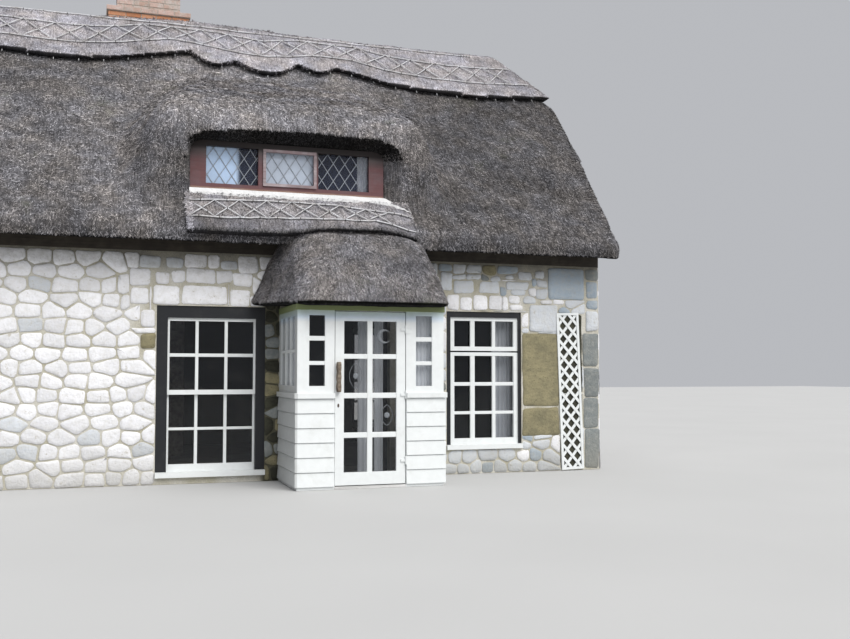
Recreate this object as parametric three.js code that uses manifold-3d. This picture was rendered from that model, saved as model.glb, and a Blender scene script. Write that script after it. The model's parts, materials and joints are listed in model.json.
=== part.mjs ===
// Thatched stone cottage with a glazed timber porch, in millimetres with +Z up.
// X is measured from the middle of the porch, Y from the front wall's face and Z from the ground.
// The group at the end moves the middle of the footprint to the origin.
import * as THREE from 'three';
import { mergeVertices } from 'three/addons/utils/BufferGeometryUtils.js';
import Module from 'manifold-3d';

const wasm = await Module();
wasm.setup();
const { smoothstep, clamp, lerp } = THREE.MathUtils;

// House walls
const west = -5750;
const east = 3550;
const front = 0;
const rear = 5400;
const middle = (west + east) / 2;
const wallThick = 500;
const wallTop = 2776;
const plateTop = 2950;
const plateDepth = 250;
const floorTop = 100;
const upperFloorBottom = 2300;
const upperFloorTop = 2450;
const fitGap = 0.3;

// Roof: the outer faces of the thatch, and its depth square to the slope
const ridgeY = (front + rear) / 2;
const ridgeZ = 6450;
const eaveReach = 500;
const eaveZ = 3030;
const eaveLowReach = 450;
const eaveLowZ = 2850;
const thatchDepth = 350;
const vergeReach = 235;
const vergeTuck = 140;
const vergeTuckStart = 4700;
const hipFootZ = 5450;
const hipRun = 800;
const hipInnerZ = 5250;
const hipInnerRun = 550;
const run = ridgeY + eaveReach;
const rise = ridgeZ - eaveZ;
const slopeLength = Math.hypot(run, rise);
const verge = east + vergeReach - middle;

// Thatch hood over the dormer, measured along and square to the front slope
const hood = {
  middle: -720, halfWidth: 1510, flank: 650, height: 780, top: 1150, crest: 3350, lip: 3500, foot: 4300,
};

// Dormer window
const dormer = {
  left: -1987, right: 443, sill: 3470, sillReach: 245, sillEdge: 12, bottom: 3562, top: 4151, face: -40,
  depth: 60,
};
const dormerLights = [[-1796, -1162], [-1105, -433], [-409, 251]];
const dormerLightBottom = 3625;
const dormerLightTop = 4085;

// Doorway in the stone wall behind the porch
const doorway = { half: 550, top: 2100 };

// Ground-floor windows
const leftWindow = {
  left: -2346, right: -1050, bottom: 80, top: 2126, sash: [-2215, -1164, 142, 1982], rail: 1088,
};
const rightWindow = {
  left: 1320, right: 2386, bottom: 320, top: 2126, sash: [1382, 2348, 380, 2052], rail: 1600,
};
const rearWindowShifts = [-4700, 0];
const glassThick = 5;
const paneLap = 15;

// Porch
const porch = { half: 877, reach: 1123, wall: 60, top: 2040, ceilingTop: 2110, floor: 30 };
const door = { left: -435, right: 403, bottom: 42, top: 2023, thick: 44, face: -1118 };
const doorPanes = { left: -331, right: 296, bottom: 187, top: 1917 };
const handle = {
  x: -398, radius: 17, low: 1103, high: 1445, standOff: 50, feet: [1150, 1390], footWidth: 24,
};
const jambGap = 8;
const hingeHeights = [260, 1020, 1780];
const hinge = { x: 407, y: -1133, radius: 9, pin: 4, bore: 4.4, leaf: 60, third: 32 };

// Chimney
const chimney = {
  left: -2930, right: -1790, front: ridgeY + 60, rear: ridgeY + 920, ledge: 6625, ledgeTop: 6690, drip: 25,
  setBack: 120, top: 7700, capTop: 7900,
};
const potPlaces = [['left', 0.28], ['right', 0.72]];
const potOutline = [
  [95, 0], [150, 0], [150, 60], [125, 90], [115, 380], [140, 400], [140, 440], [90, 440], [95, 0],
];
const potSides = 16;

const paint = (color, roughness) => new THREE.MeshStandardMaterial({ color, roughness, metalness: 0 });
const whiteStone = () => paint(0xd9d4c4, 0.9);
const thatch = () => paint(0x77695a, 0.95);
const whitePaint = () => paint(0xe9ebe8, 0.5);
const blackPaint = () => paint(0x17181a, 0.5);
const darkTimber = () => paint(0x3a2a20, 0.8);
const redFrame = () => paint(0x4a211b, 0.6);
const greyTimber = () => paint(0x9b8a80, 0.7);
const brick = () => paint(0xa4583a, 0.9);
const glass = () => paint(0x3c4a4d, 0.1);

const cottage = new THREE.Group();
cottage.position.set(-middle, -ridgeY, 0);

function place(name, geometry, material) {
  const mesh = new THREE.Mesh(geometry, material);
  mesh.name = name;
  cottage.add(mesh);
  return mesh;
}

function box(x0, x1, y0, y1, z0, z1) {
  const geometry = new THREE.BoxGeometry(x1 - x0, y1 - y0, z1 - z0);
  return geometry.translate((x0 + x1) / 2, (y0 + y1) / 2, (z0 + z1) / 2);
}

function post(x, y, radius, z0, z1, sides) {
  const geometry = new THREE.CylinderGeometry(radius, radius, z1 - z0, sides);
  geometry.rotateX(Math.PI / 2);
  return geometry.translate(x, y, (z0 + z1) / 2);
}

// Joining and cutting closed shapes
function solid(geometry) {
  const bare = geometry.clone();
  bare.deleteAttribute('normal');
  bare.deleteAttribute('uv');
  const merged = mergeVertices(bare, 1e-3);
  const vertProperties = Float32Array.from(merged.attributes.position.array);
  const triVerts = Uint32Array.from(merged.index.array);
  return new wasm.Manifold(new wasm.Mesh({ numProp: 3, vertProperties, triVerts }));
}

function surface(manifold) {
  const mesh = manifold.getMesh();
  const geometry = new THREE.BufferGeometry();
  geometry.setAttribute('position', new THREE.BufferAttribute(mesh.vertProperties, 3));
  geometry.setIndex(new THREE.BufferAttribute(mesh.triVerts, 1));
  geometry.computeVertexNormals();
  return geometry;
}

function cut(base, ...tools) {
  return surface(tools.reduce((left, tool) => left.subtract(solid(tool)), solid(base)));
}

function join(first, ...others) {
  return surface(others.reduce((sum, other) => sum.add(solid(other)), solid(first)));
}

// Twice the signed area of an outline, positive when it runs anticlockwise
function turn(points) {
  return points.reduce((sum, p, i) => {
    const q = points[(i + 1) % points.length];
    return sum + p.x * q.y - q.x * p.y;
  }, 0);
}

function isEar(outline, left, i, sense) {
  const count = left.length;
  const corner = [left[(i + count - 1) % count], left[i], left[(i + 1) % count]];
  const [a, b, c] = corner.map((n) => outline[n]);
  const others = left.filter((n) => !corner.includes(n)).map((n) => outline[n]);
  const holds = (p) => [[a, b], [b, c], [c, a]].every(([q, r]) => turn([q, r, p]) * sense > -1);
  return turn([a, b, c]) * sense > 1 && !others.some(holds);
}

// Triangles that fill an outline, in its own sense, and use every one of its points
function fill(outline) {
  const left = outline.map((_, i) => i);
  const sense = Math.sign(turn(outline));
  const triangles = [];
  while (left.length > 3) {
    const tip = Math.max(0, left.findIndex((_, i) => isEar(outline, left, i, sense)));
    triangles.push([left.at(tip - 1), left[tip], left[(tip + 1) % left.length]]);
    left.splice(tip, 1);
  }
  return [...triangles, left];
}

// A closed skin through rings of as many points each, capped flat in the two axes given
function loft(rings, across, up) {
  const count = rings[0].length;
  const last = (rings.length - 1) * count;
  const index = [];
  for (let i = 0; i + 1 < rings.length; i += 1) {
    for (let j = 0; j < count; j += 1) {
      const a = i * count + j;
      const b = i * count + ((j + 1) % count);
      index.push(a, b, b + count, a, b + count, a + count);
    }
  }
  const flat = (ring) => ring.map((point) => new THREE.Vector2(point[across], point[up]));
  for (const [p, q, r] of fill(flat(rings[0]))) index.push(p, r, q);
  for (const [p, q, r] of fill(flat(rings.at(-1)))) index.push(last + p, last + q, last + r);
  const geometry = new THREE.BufferGeometry();
  geometry.setAttribute('position', new THREE.Float32BufferAttribute(rings.flat(2), 3));
  geometry.setIndex(enclosed(rings.flat(), index) > 0 ? index : index.reverse());
  return geometry;
}

// Six times the volume inside a closed skin, positive when its faces point out
function enclosed(points, index) {
  let sum = 0;
  for (let i = 0; i < index.length; i += 3) {
    const [a, b, c] = index.slice(i, i + 3).map((n) => new THREE.Vector3(...points[n]));
    sum += a.dot(b.cross(c));
  }
  return sum;
}

// A straight bar along X or Y with the same outline at both ends
function barAlongX(x0, x1, outline) {
  return loft([x0, x1].map((x) => outline.map(([y, z]) => [x, y, z])), 1, 2);
}

function barAlongY(y0, y1, outline) {
  return loft([y0, y1].map((y) => outline.map(([x, z]) => [x, y, z])), 0, 2);
}

// A point on a roof slope: side -1 is the front and 1 the rear, measured down from the ridge
function onSlope(side, along, lift) {
  const y = ridgeY + (side * (along * run + lift * rise)) / slopeLength;
  const z = ridgeZ + (lift * run - along * rise) / slopeLength;
  return [y, z];
}

// A straight climb from 0 to 1 with rounded ends
function easedRamp(value, low, high) {
  const t = clamp((value - low) / (high - low), 0, 1);
  const bend = 0.2;
  const scale = 2 * bend * (1 - bend);
  if (t < bend) return t ** 2 / scale;
  if (t > 1 - bend) return 1 - (1 - t) ** 2 / scale;
  return (t - bend / 2) / (1 - bend);
}

function hoodLift(x, along) {
  const opened = easedRamp(along, hood.top, hood.crest);
  const closed = smoothstep(along, hood.lip, hood.foot);
  const aside = Math.abs(x - hood.middle) - hood.halfWidth * lerp(0.5, 1, opened);
  return hood.height * opened * (1 - closed) * (1 - smoothstep(aside, 0, hood.flank));
}

// The underside of the thatch at a height, and its height at a distance from the ridge
const innerRidgeZ = ridgeZ - (thatchDepth * slopeLength) / run;
const innerZ = (fromRidge) => innerRidgeZ - (fromRidge * rise) / run;
const innerReach = (z) => ((innerRidgeZ - z) * run) / rise;

// The hips at the two ends, as wedges that take off what lies above them
function hipWedge(side, offset) {
  const out = (offset * Math.hypot(hipRun, ridgeZ - hipFootZ)) / (ridgeZ - hipFootZ);
  const top = ridgeZ + 1000;
  const slant = ((top - hipFootZ) * hipRun) / (ridgeZ - hipFootZ);
  const beyond = verge + 900;
  const outline = [[verge + out, hipFootZ], [verge + out - slant, top], [beyond, top], [beyond, hipFootZ]];
  return barAlongY(front - 1500, rear + 1500, outline.map(([x, z]) => [middle + side * x, z]));
}

// Stone walls
function wallHole(window) {
  return box(window.left, window.right, front - 100, front + wallThick + 100, window.bottom, window.top);
}

function gableOutline() {
  const seat = ridgeY - plateDepth;
  const top = hipInnerZ - fitGap;
  const slopeGap = (fitGap * slopeLength) / run;
  const half = [[ridgeY, 0], [ridgeY, wallTop], [seat, wallTop], [seat, innerZ(seat) - slopeGap],
    [innerReach(top + slopeGap), top]];
  const far = half.map(([y, z]) => [ridgeY + y, z]);
  const near = half.map(([y, z]) => [ridgeY - y, z]).reverse();
  return [...far, ...near];
}

function buildWalls() {
  const inWest = west + wallThick;
  const inEast = east - wallThick;
  const back = front + wallThick;
  const left = box(inWest, -doorway.half, front, back, 0, wallTop);
  place('front_wall_left', cut(left, wallHole(leftWindow)), whiteStone());
  const right = box(doorway.half, inEast, front, back, 0, wallTop);
  place('front_wall_right', cut(right, wallHole(rightWindow)), whiteStone());
  const overDoor = box(-doorway.half, doorway.half, front, back, doorway.top, wallTop);
  place('front_wall_over_door', overDoor, whiteStone());
  const rearHole = (shift) => wallHole(rightWindow).translate(shift, rear - wallThick, 0);
  const holes = rearWindowShifts.map(rearHole);
  place('rear_wall', cut(box(inWest, inEast, rear - wallThick, rear, 0, wallTop), ...holes), whiteStone());
  place('left_gable', barAlongX(west, inWest, gableOutline()), whiteStone());
  place('right_gable', barAlongX(inEast, east, gableOutline()), whiteStone());
  place('front_wall_plate', box(west, east, front, front + plateDepth, wallTop, plateTop), darkTimber());
  place('rear_wall_plate', box(west, east, rear - plateDepth, rear, wallTop, plateTop), darkTimber());
}

function chimneyShaft(gap, z0, z1) {
  const { left, right, front: near, rear: far } = chimney;
  return box(left - gap, right + gap, near - gap, far + gap, z0, z1);
}

function buildFloors() {
  const inside = [west + wallThick, east - wallThick, front + wallThick, rear - wallThick];
  place('ground_floor', box(...inside, 0, floorTop), paint(0x8a8378, 0.9));
  const upper = box(...inside, upperFloorBottom, upperFloorTop);
  const shaft = chimneyShaft(fitGap, upperFloorBottom - 50, upperFloorTop + 50);
  place('upper_floor', cut(upper, shaft), darkTimber());
}

// Thatch
function slopeRing(side, x, steps, lift) {
  const fromMiddle = Math.abs(x - middle);
  const wallFace = east - middle;
  const outward = clamp((fromMiddle - wallFace) / vergeReach, 0, 1);
  const hipShare = clamp((fromMiddle - wallFace + wallThick + hipInnerRun) / hipInnerRun, 0, 1);
  const seat = ridgeY - plateDepth;
  const outer = steps.map((along) => onSlope(side, along, lift(x, along)));
  const inner = [
    [ridgeY + side * (ridgeY + eaveLowReach), eaveLowZ],
    [ridgeY + side * ridgeY, plateTop],
    [ridgeY + side * seat, plateTop],
    [ridgeY + side * seat, innerZ(seat)],
    [ridgeY + side * innerReach(hipInnerZ), hipInnerZ],
    [ridgeY, lerp(innerRidgeZ, hipInnerZ, hipShare)],
  ];
  return [...outer, ...inner].map(([y, z]) => {
    const low = clamp((vergeTuckStart - z) / (vergeTuckStart - eaveLowZ), 0, 1);
    const tuck = outward * vergeTuck * (1 - (1 - low) ** 3);
    return [x - Math.sign(x - middle) * tuck, y, z];
  });
}

function slopeSolid(side, places, steps, lift) {
  const skin = loft(places.map((x) => slopeRing(side, x, steps, lift)), 1, 2);
  return cut(skin, hipWedge(-1, 0), hipWedge(1, 0), chimneyShaft(fitGap, plateTop, ridgeZ + 1000));
}

function evenly(from, to, count) {
  return Array.from({ length: count + 1 }, (_, i) => lerp(from, to, i / count));
}

function endPlaces(side) {
  const wallFace = east - middle;
  const inner = wallFace - wallThick;
  const fromMiddle = [wallFace + vergeReach, wallFace + vergeReach / 2, wallFace, inner, inner - hipInnerRun];
  return fromMiddle.map((x) => middle + side * x).sort((a, b) => a - b);
}

// The mouth of the dormer: wide at the lip of the thatch, narrowing back to the window
function dormerMouth() {
  const { left, right, sill, top } = dormer;
  const lip = [
    [-2030, sill], [-2030, 3960], [-1980, 4090], [-1830, 4195], [-700, 4260],
    [320, 4235], [590, 4130], [700, 3980], [715, 3810], [650, sill],
  ];
  const back = [
    [left, sill], [left, 3950], [left + 20, 4110], [-1850, top], [-700, top],
    [250, top], [right - 60, top - 20], [right, 4050], [right, 3800], [right, sill],
  ];
  const depths = [[-1500, lip], [-300, lip], [dormer.face, back]];
  return loft(depths.map(([y, outline]) => outline.map(([x, z]) => [x, y, z])), 0, 2);
}

function dormerPassage() {
  const { left, right, sill, top, face } = dormer;
  return box(left - fitGap, right + fitGap, face, 1300, sill, top + fitGap);
}

function buildThatch() {
  const hoodEdge = hood.halfWidth + hood.flank;
  const hoodPlaces = evenly(hood.middle - hoodEdge, hood.middle + hoodEdge, 28);
  const frontPlaces = [...endPlaces(-1), ...hoodPlaces, ...endPlaces(1)];
  const upperSteps = evenly(0, hood.top, 2);
  const hoodSteps = evenly(hood.top, hood.crest, 9);
  const lipSteps = evenly(hood.crest, hood.foot, 9);
  const frontSteps = [...upperSteps, ...hoodSteps.slice(1), ...lipSteps.slice(1), slopeLength];
  const frontSkin = slopeSolid(-1, frontPlaces, frontSteps, hoodLift);
  place('front_thatch', cut(frontSkin, dormerMouth(), dormerPassage()), thatch());
  const under = frontSkin.clone().translate(0, -fitGap, fitGap);
  buildApron(under);
  buildRidgeCap(under);
  const rearPlaces = [...endPlaces(-1), ...endPlaces(1)];
  const rearSteps = [...evenly(0, hood.crest, 3), hood.lip, hood.foot, slopeLength];
  place('rear_thatch', slopeSolid(1, rearPlaces, rearSteps, () => 0), thatch());
}

// The ridge cap: a second coat of thatch, with the height of its rounded crest at places along the ridge
const capDepth = 100;
const capShoulder = 160;
const crest = [
  [-6060, 6480], [-3600, 6480], [-2600, 6515], [-1780, 6577], [-880, 6542], [700, 6515], [2600, 6521],
  [3860, 6560],
];

// Its skirt: [x, depth down the slope, how far the scallop after it hangs below]
const skirt = [
  [-6060, 1170, 0], [-5000, 1300, 0], [-4290, 1230, 0], [-3670, 1320, 0], [-3040, 1270, 0], [-2240, 990, 0],
  [-1820, 850, 220], [-1190, 985, 310], [-265, 920, 160], [290, 930, 0], [660, 1050, 0], [1030, 1220, 0],
  [1600, 1310, 0], [2570, 1340, 0], [3860, 1170, 0],
];
const scallopSteps = 6;

function skirtEdge() {
  return skirt.flatMap(([x, along, drop], i) => {
    const [nextX, nextAlong] = skirt[i + 1] ?? [x, along];
    const shares = evenly(0, 1, drop ? scallopSteps : 1).slice(0, -1);
    return shares.map((t) => [lerp(x, nextX, t), lerp(along, nextAlong, t) + drop * Math.sin(Math.PI * t)]);
  });
}

// The value at x of a line through [x, value] points
function valueAt(points, x) {
  const next = clamp(points.findIndex(([place]) => place >= x), 1, points.length - 1);
  const [[x0, v0], [x1, v1]] = [points[next - 1], points[next]];
  return lerp(v0, v1, (x - x0) / (x1 - x0));
}

function capRing([x, along]) {
  const steps = [along, capShoulder];
  const near = steps.map((step) => onSlope(-1, step, capDepth));
  const far = steps.map((step) => onSlope(1, step, capDepth)).reverse();
  return [...near, [ridgeY, valueAt(crest, x)], ...far].map(([y, z]) => [x, y, z]);
}

function tentRing(x, along, lift) {
  const apex = [ridgeY, ridgeZ + (lift * slopeLength) / run];
  return [onSlope(-1, along, lift), apex, onSlope(1, along, lift)].map(([y, z]) => [x, y, z]);
}

function buildRidgeCap(slope) {
  const coat = loft(skirtEdge().map(capRing), 1, 2);
  const roofEnds = [middle - verge - 500, middle + verge + 500];
  const roof = loft(roofEnds.map((x) => tentRing(x, slopeLength, fitGap)), 1, 2);
  const body = cut(roof, hipWedge(-1, fitGap), hipWedge(1, fitGap));
  const shaft = chimneyShaft(fitGap, hipFootZ - 600, ridgeZ + 1000);
  const hips = [hipWedge(-1, capDepth), hipWedge(1, capDepth)];
  place('ridge_cap', cut(coat, ...hips, body, slope, shaft), thatch());
}

// The thatch apron under the dormer, turned down over the eave: [x, height of its lower edge]
const apronTop = 4190;
const apronTurn = 4600;
const apronDepth = 80;
const apronReach = 600;
const apronEdge = [
  [-2050, 2967], [-1720, 2963], [-970, 2970], [-730, 2989], [-550, 3031], [-350, 3052], [280, 3060],
  [500, 3026], [740, 2960],
];

function apronShape(gap) {
  const last = apronEdge.length - 1;
  const rings = apronEdge.map(([x, low], i) => {
    const steps = evenly(apronTop, apronTurn, 3);
    const outer = steps.map((along) => onSlope(-1, along, hoodLift(x, along) + apronDepth + gap));
    const edge = [[-apronReach - gap, low - gap], [150 - apronReach, low - 0.6 * apronDepth - gap]];
    const aside = i === 0 ? -gap : (i === last ? gap : 0);
    return [...outer, ...edge, onSlope(-1, apronTop, -apronDepth)].map(([y, z]) => [x + aside, y, z]);
  });
  return loft(rings, 1, 2);
}

function buildApron(slope) {
  place('dormer_apron', cut(apronShape(0), slope), thatch());
}

// The porch thatch, narrower in front than at the wall, as rings with rounded front corners:
// [height at the front, rise to the wall, half width at the wall, half width in front, reach]
const porchRings = [
  [2080, 60, 1190, 900, 1290], [2100, 55, 1255, 962, 1365], [2150, 40, 1248, 955, 1365],
  [2220, 20, 1225, 933, 1335], [2410, 0, 1140, 914, 1195], [2580, 0, 1080, 895, 1030],
  [2740, 0, 1000, 877, 860], [2880, 0, 920, 870, 700], [2970, 0, 860, 850, 600], [3015, 0, 800, 790, 540],
];
const porchCorner = 350;
const cornerSteps = 5;

function porchRing([z, rise, wallHalf, frontHalf, reach]) {
  const onCorner = (a) => [
    frontHalf - porchCorner + porchCorner * Math.cos(a), porchCorner - reach - porchCorner * Math.sin(a),
  ];
  const right = [[wallHalf, front], ...evenly(0, Math.PI / 2, cornerSteps).map(onCorner)];
  const left = right.map(([x, y]) => [-x, y]).reverse();
  return [...right, ...left].map(([x, y]) => [x, y, z + rise * (1 + y / reach)]);
}

function buildPorchThatch() {
  const dome = loft(porchRings.map(porchRing), 0, 1);
  const above = eaveZ + 400;
  const behind = front + 50;
  const outline = [
    [front - eaveReach, above], [front - eaveReach, eaveZ], [front - eaveLowReach, eaveLowZ],
    [front, plateTop], [behind, plateTop], [behind, above],
  ];
  const roof = barAlongX(-2000, 2000, outline.map(([y, z]) => [y - fitGap, z - fitGap]));
  const half = porch.half + fitGap;
  const room = box(-half, half, -porch.reach - fitGap, behind, porch.top - 40, porch.ceilingTop);
  place('porch_thatch', cut(dome, roof, room, apronShape(fitGap)), thatch());
}

// Chimney
function buildChimney() {
  const { left, right, front: near, rear: far, ledge, ledgeTop, drip, setBack, top, capTop } = chimney;
  const lap = 5;
  const dripCourse = chimneyShaft(drip, ledge - lap, ledgeTop);
  const shaft = chimneyShaft(-setBack, ledgeTop - lap, top);
  place('chimney_stack', join(chimneyShaft(0, floorTop, ledge), dripCourse, shaft), brick());
  const lowCourse = chimneyShaft(45 - setBack, top, top + 80);
  const highCourse = chimneyShaft(20 - setBack, top + 80 - lap, capTop);
  place('chimney_cap', join(lowCourse, highCourse), brick());
  const outline = potOutline.map(([radius, z]) => new THREE.Vector2(radius, z));
  for (const [name, share] of potPlaces) {
    const pot = new THREE.LatheGeometry(outline, potSides).rotateX(Math.PI / 2);
    const x = lerp(left + setBack, right - setBack, share);
    place(`chimney_pot_${name}`, pot.translate(x, (near + far) / 2, capTop), brick());
  }
}

// A rectangular frame, with the widths of its stiles, top rail and bottom rail
function frame([x0, x1], [y0, y1], [z0, z1], { stile, top, bottom }) {
  const light = box(x0 + stile, x1 - stile, y0 - 50, y1 + 50, z0 + bottom, z1 - top);
  return cut(box(x0, x1, y0, y1, z0, z1), light);
}

function buildDormer() {
  const back = dormer.face + dormer.depth;
  const slant = [
    [back, dormer.sill], [back, dormer.bottom], [dormer.face, dormer.bottom],
    [-dormer.sillReach, dormer.sill + dormer.sillEdge], [-dormer.sillReach, dormer.sill],
  ];
  place('dormer_sill', barAlongX(dormer.left, dormer.right, slant), whiteStone());
  const lights = dormerLights.map(([x0, x1]) => box(x0, x1, -200, 200, dormerLightBottom, dormerLightTop));
  const outer = box(dormer.left, dormer.right, dormer.face, back, dormer.bottom, dormer.top);
  place('dormer_frame', cut(outer, ...lights), redFrame());
  const [left, right] = dormerLights[1];
  const casement = frame([left + fitGap, right - fitGap], [dormer.face - 20, dormer.face + 25],
    [dormerLightBottom + fitGap, dormerLightTop - fitGap], { stile: 35, top: 35, bottom: 35 });
  place('dormer_casement', casement, greyTimber());
  const glassLeft = dormerLights[0][0] - 34;
  const glassRight = dormerLights[2][1] + 39;
  const sheet = box(glassLeft, glassRight, back, back + glassThick,
    dormerLightBottom - 25, dormerLightTop + 25);
  place('dormer_glass', sheet, glass());
}

// A black outer frame open over the sashes, and a sill below it
function buildSurround(name, { left, right, bottom, top, sash }, depth, sillReach) {
  const [x0, x1, z0, z1] = sash;
  const opening = box(x0, x1, -50, depth + 50, z0 - 50, z1);
  place(`${name}_surround`, cut(box(left, right, 20, depth, z0, top), opening), blackPaint());
  place(`${name}_sill`, box(left, right, -sillReach, depth + 20, bottom, z0), whitePaint());
}

function buildLeftWindow() {
  buildSurround('left_window', leftWindow, 180, 50);
  const { sash: [x0, x1, z0, z1], rail } = leftWindow;
  const meeting = 28;
  const topRail = 36;
  const stile = 25;
  const sashDepth = 35;
  const upperFace = 45;
  const lowerFace = upperFace + sashDepth + 0.5;
  const across = [x0 + fitGap, x1 - fitGap];
  const upper = frame(across, [upperFace, upperFace + sashDepth], [rail - meeting, z1 - fitGap],
    { stile, top: topRail, bottom: 2 * meeting });
  place('left_window_upper_sash', upper, whitePaint());
  const lower = frame(across, [lowerFace, lowerFace + sashDepth], [z0, rail + meeting],
    { stile, top: 2 * meeting, bottom: 85 });
  place('left_window_lower_sash', lower, whitePaint());
  const lap = stile - paneLap;
  const glassTop = z1 - topRail + paneLap;
  const upperGlass = box(x0 + lap, x1 - lap, lowerFace, lowerFace + 3.5, rail + meeting + 2, glassTop);
  place('left_window_upper_glass', upperGlass, glass());
  const behind = lowerFace + sashDepth;
  const lowerGlass = box(x0 + lap, x1 - lap, behind, behind + glassThick, z0 + 60, rail - 10);
  place('left_window_lower_glass', lowerGlass, glass());
}

function buildRightWindow() {
  buildSurround('right_window', rightWindow, 160, 40);
  const { sash: [x0, x1, z0, z1], rail } = rightWindow;
  const across = [x0 + fitGap, x1 - fitGap];
  const depths = [40, 85];
  const topLight = frame(across, depths, [rail + 10, z1 - fitGap], { stile: 60, top: 45, bottom: 56 });
  place('right_window_top_light', topLight, whitePaint());
  const casement = frame(across, depths, [z0, rail - 10], { stile: 60, top: 46, bottom: 80 });
  place('right_window_casement', casement, whitePaint());
  const sheet = box(x0 + 30, x1 - 30, depths[1], depths[1] + glassThick, z0 + 40, z1 - 25);
  place('right_window_glass', sheet, glass());
}

function buildRearWindows() {
  const { left, right, bottom, top, rail } = rightWindow;
  const [x0, x1, z0, z1] = rightWindow.sash;
  const outside = rear - 20;
  const inside = rear - 140;
  rearWindowShifts.forEach((shift, i) => {
    const name = `rear_window_${i + 1}`;
    const lights = [[rail + 66, z1 - 45], [z0 + 80, rail - 56]];
    const holes = lights.map(([low, high]) => box(x0 + 60, x1 - 60, inside - 50, outside + 50, low, high));
    const body = cut(box(left, right, inside, outside, bottom, top), ...holes);
    place(name, body.translate(shift, 0, 0), whitePaint());
    const sheet = box(x0 + 30, x1 - 30, inside - glassThick, inside, z0 + 40, z1 - 25);
    place(`${name}_glass`, sheet.translate(shift, 0, 0), glass());
  });
}

// Porch walls and door
function hingeHeightsOf(part) {
  const { third } = hinge;
  if (part === 'jamb') return hingeHeights.map((z) => [z, z + 3 * third]);
  return hingeHeights.map((z) => [z + third + fitGap, z + 2 * third - fitGap]);
}

function jambHinges() {
  const { x, y, radius, pin, leaf, third } = hinge;
  return hingeHeightsOf('jamb').flatMap(([z0, z1]) => [
    post(x, y, pin, z0, z1, 12),
    ...[[z0, z0 + third], [z1 - third, z1]].flatMap(([low, high]) => [
      post(x, y, radius, low, high, 12),
      box(x, x + leaf, y + 2, -porch.reach + 4, low, high),
    ]),
  ]);
}

function doorHinges() {
  const { x, y, radius, leaf } = hinge;
  return hingeHeightsOf('door').flatMap(([z0, z1]) => [
    post(x, y, radius, z0, z1, 12),
    box(x - leaf, x, y + 2, door.face + 4, z0, z1),
  ]);
}

function doorBores() {
  return hingeHeightsOf('door').map(([z0, z1]) => post(hinge.x, hinge.y, hinge.bore, z0 - 5, z1 + 5, 12));
}

function buildPorchWalls() {
  const { half, reach, wall, top } = porch;
  const inner = wall - reach;
  const leftLight = [-738, -555, 1172, 1977];
  const rightLight = [533, 732, 1167, 1988];
  const frontPanel = (x0, x1, [a, b, low, high]) => cut(box(x0, x1, -reach, inner, 0, top),
    box(a, b, -reach - 50, inner + 50, low, high));
  place('porch_front_left', frontPanel(-half, door.left - jambGap, leftLight), whitePaint());
  const right = frontPanel(door.right + jambGap, half, rightLight);
  place('porch_front_right', join(right, ...jambHinges()), whitePaint());
  for (const [name, [a, b, low, high]] of [['front_left', leftLight], ['front_right', rightLight]]) {
    const pane = box(a + fitGap, b - fitGap, -reach + 25, -reach + 29, low + fitGap, high - fitGap);
    place(`porch_${name}_glass`, pane, glass());
  }
  const sideLight = [-980, -80, 1172, 1977];
  for (const [name, x0] of [['left', -half], ['right', half - wall]]) {
    const [a, b, low, high] = sideLight;
    const panel = box(x0, x0 + wall, inner, front, 0, top);
    place(`porch_${name}_side`, cut(panel, box(x0 - 50, x0 + wall + 50, a, b, low, high)), whitePaint());
    const pane = box(x0 + 28, x0 + 32, a + fitGap, b - fitGap, low + fitGap, high - fitGap);
    place(`porch_${name}_side_glass`, pane, glass());
  }
  place('porch_ceiling', box(-half, half, -reach, front, top, porch.ceilingTop), whitePaint());
  const hall = box(wall - half, half - wall, inner, front, 0, porch.floor);
  const threshold = box(door.left - jambGap, door.right + jambGap, -reach, inner, 0, porch.floor);
  const step = box(-doorway.half, doorway.half, front, front + wallThick, 0, porch.floor);
  place('porch_floor', join(hall, threshold, step), paint(0x8a8378, 0.9));
}

function buildDoor() {
  const back = door.face + door.thick;
  const { left, right, bottom, top } = doorPanes;
  const opening = box(left, right, door.face - 50, back + 50, bottom, top);
  const leaf = cut(box(door.left, door.right, door.face, back, door.bottom, door.top), opening);
  place('porch_door', cut(join(leaf, ...doorHinges()), ...doorBores()), whitePaint());
  const sheet = box(left + fitGap, right - fitGap, door.face + 20, door.face + 24,
    bottom + fitGap, top - fitGap);
  place('porch_door_glass', sheet, glass());
  const { x, radius, low, high, standOff, footWidth } = handle;
  const grip = post(x, door.face - standOff, radius, low, high, 10);
  const half = footWidth / 2;
  const foot = (z) => box(x - half, x + half, door.face - standOff, door.face, z, z + footWidth);
  const feet = handle.feet.map(foot);
  place('porch_door_handle', join(grip, ...feet), paint(0x6e5138, 0.8));
}

// Trellis: two uprights with slats crossing between them, leaning a little to the right
const trellis = { x: 3135, foot: 15, lean: -0.033, half: 165, height: 2120, depth: 26 };
const trellisBar = { upright: 32, slat: 36, slatThick: 8, diamondWide: 149, diamondHigh: 175 };

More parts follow.
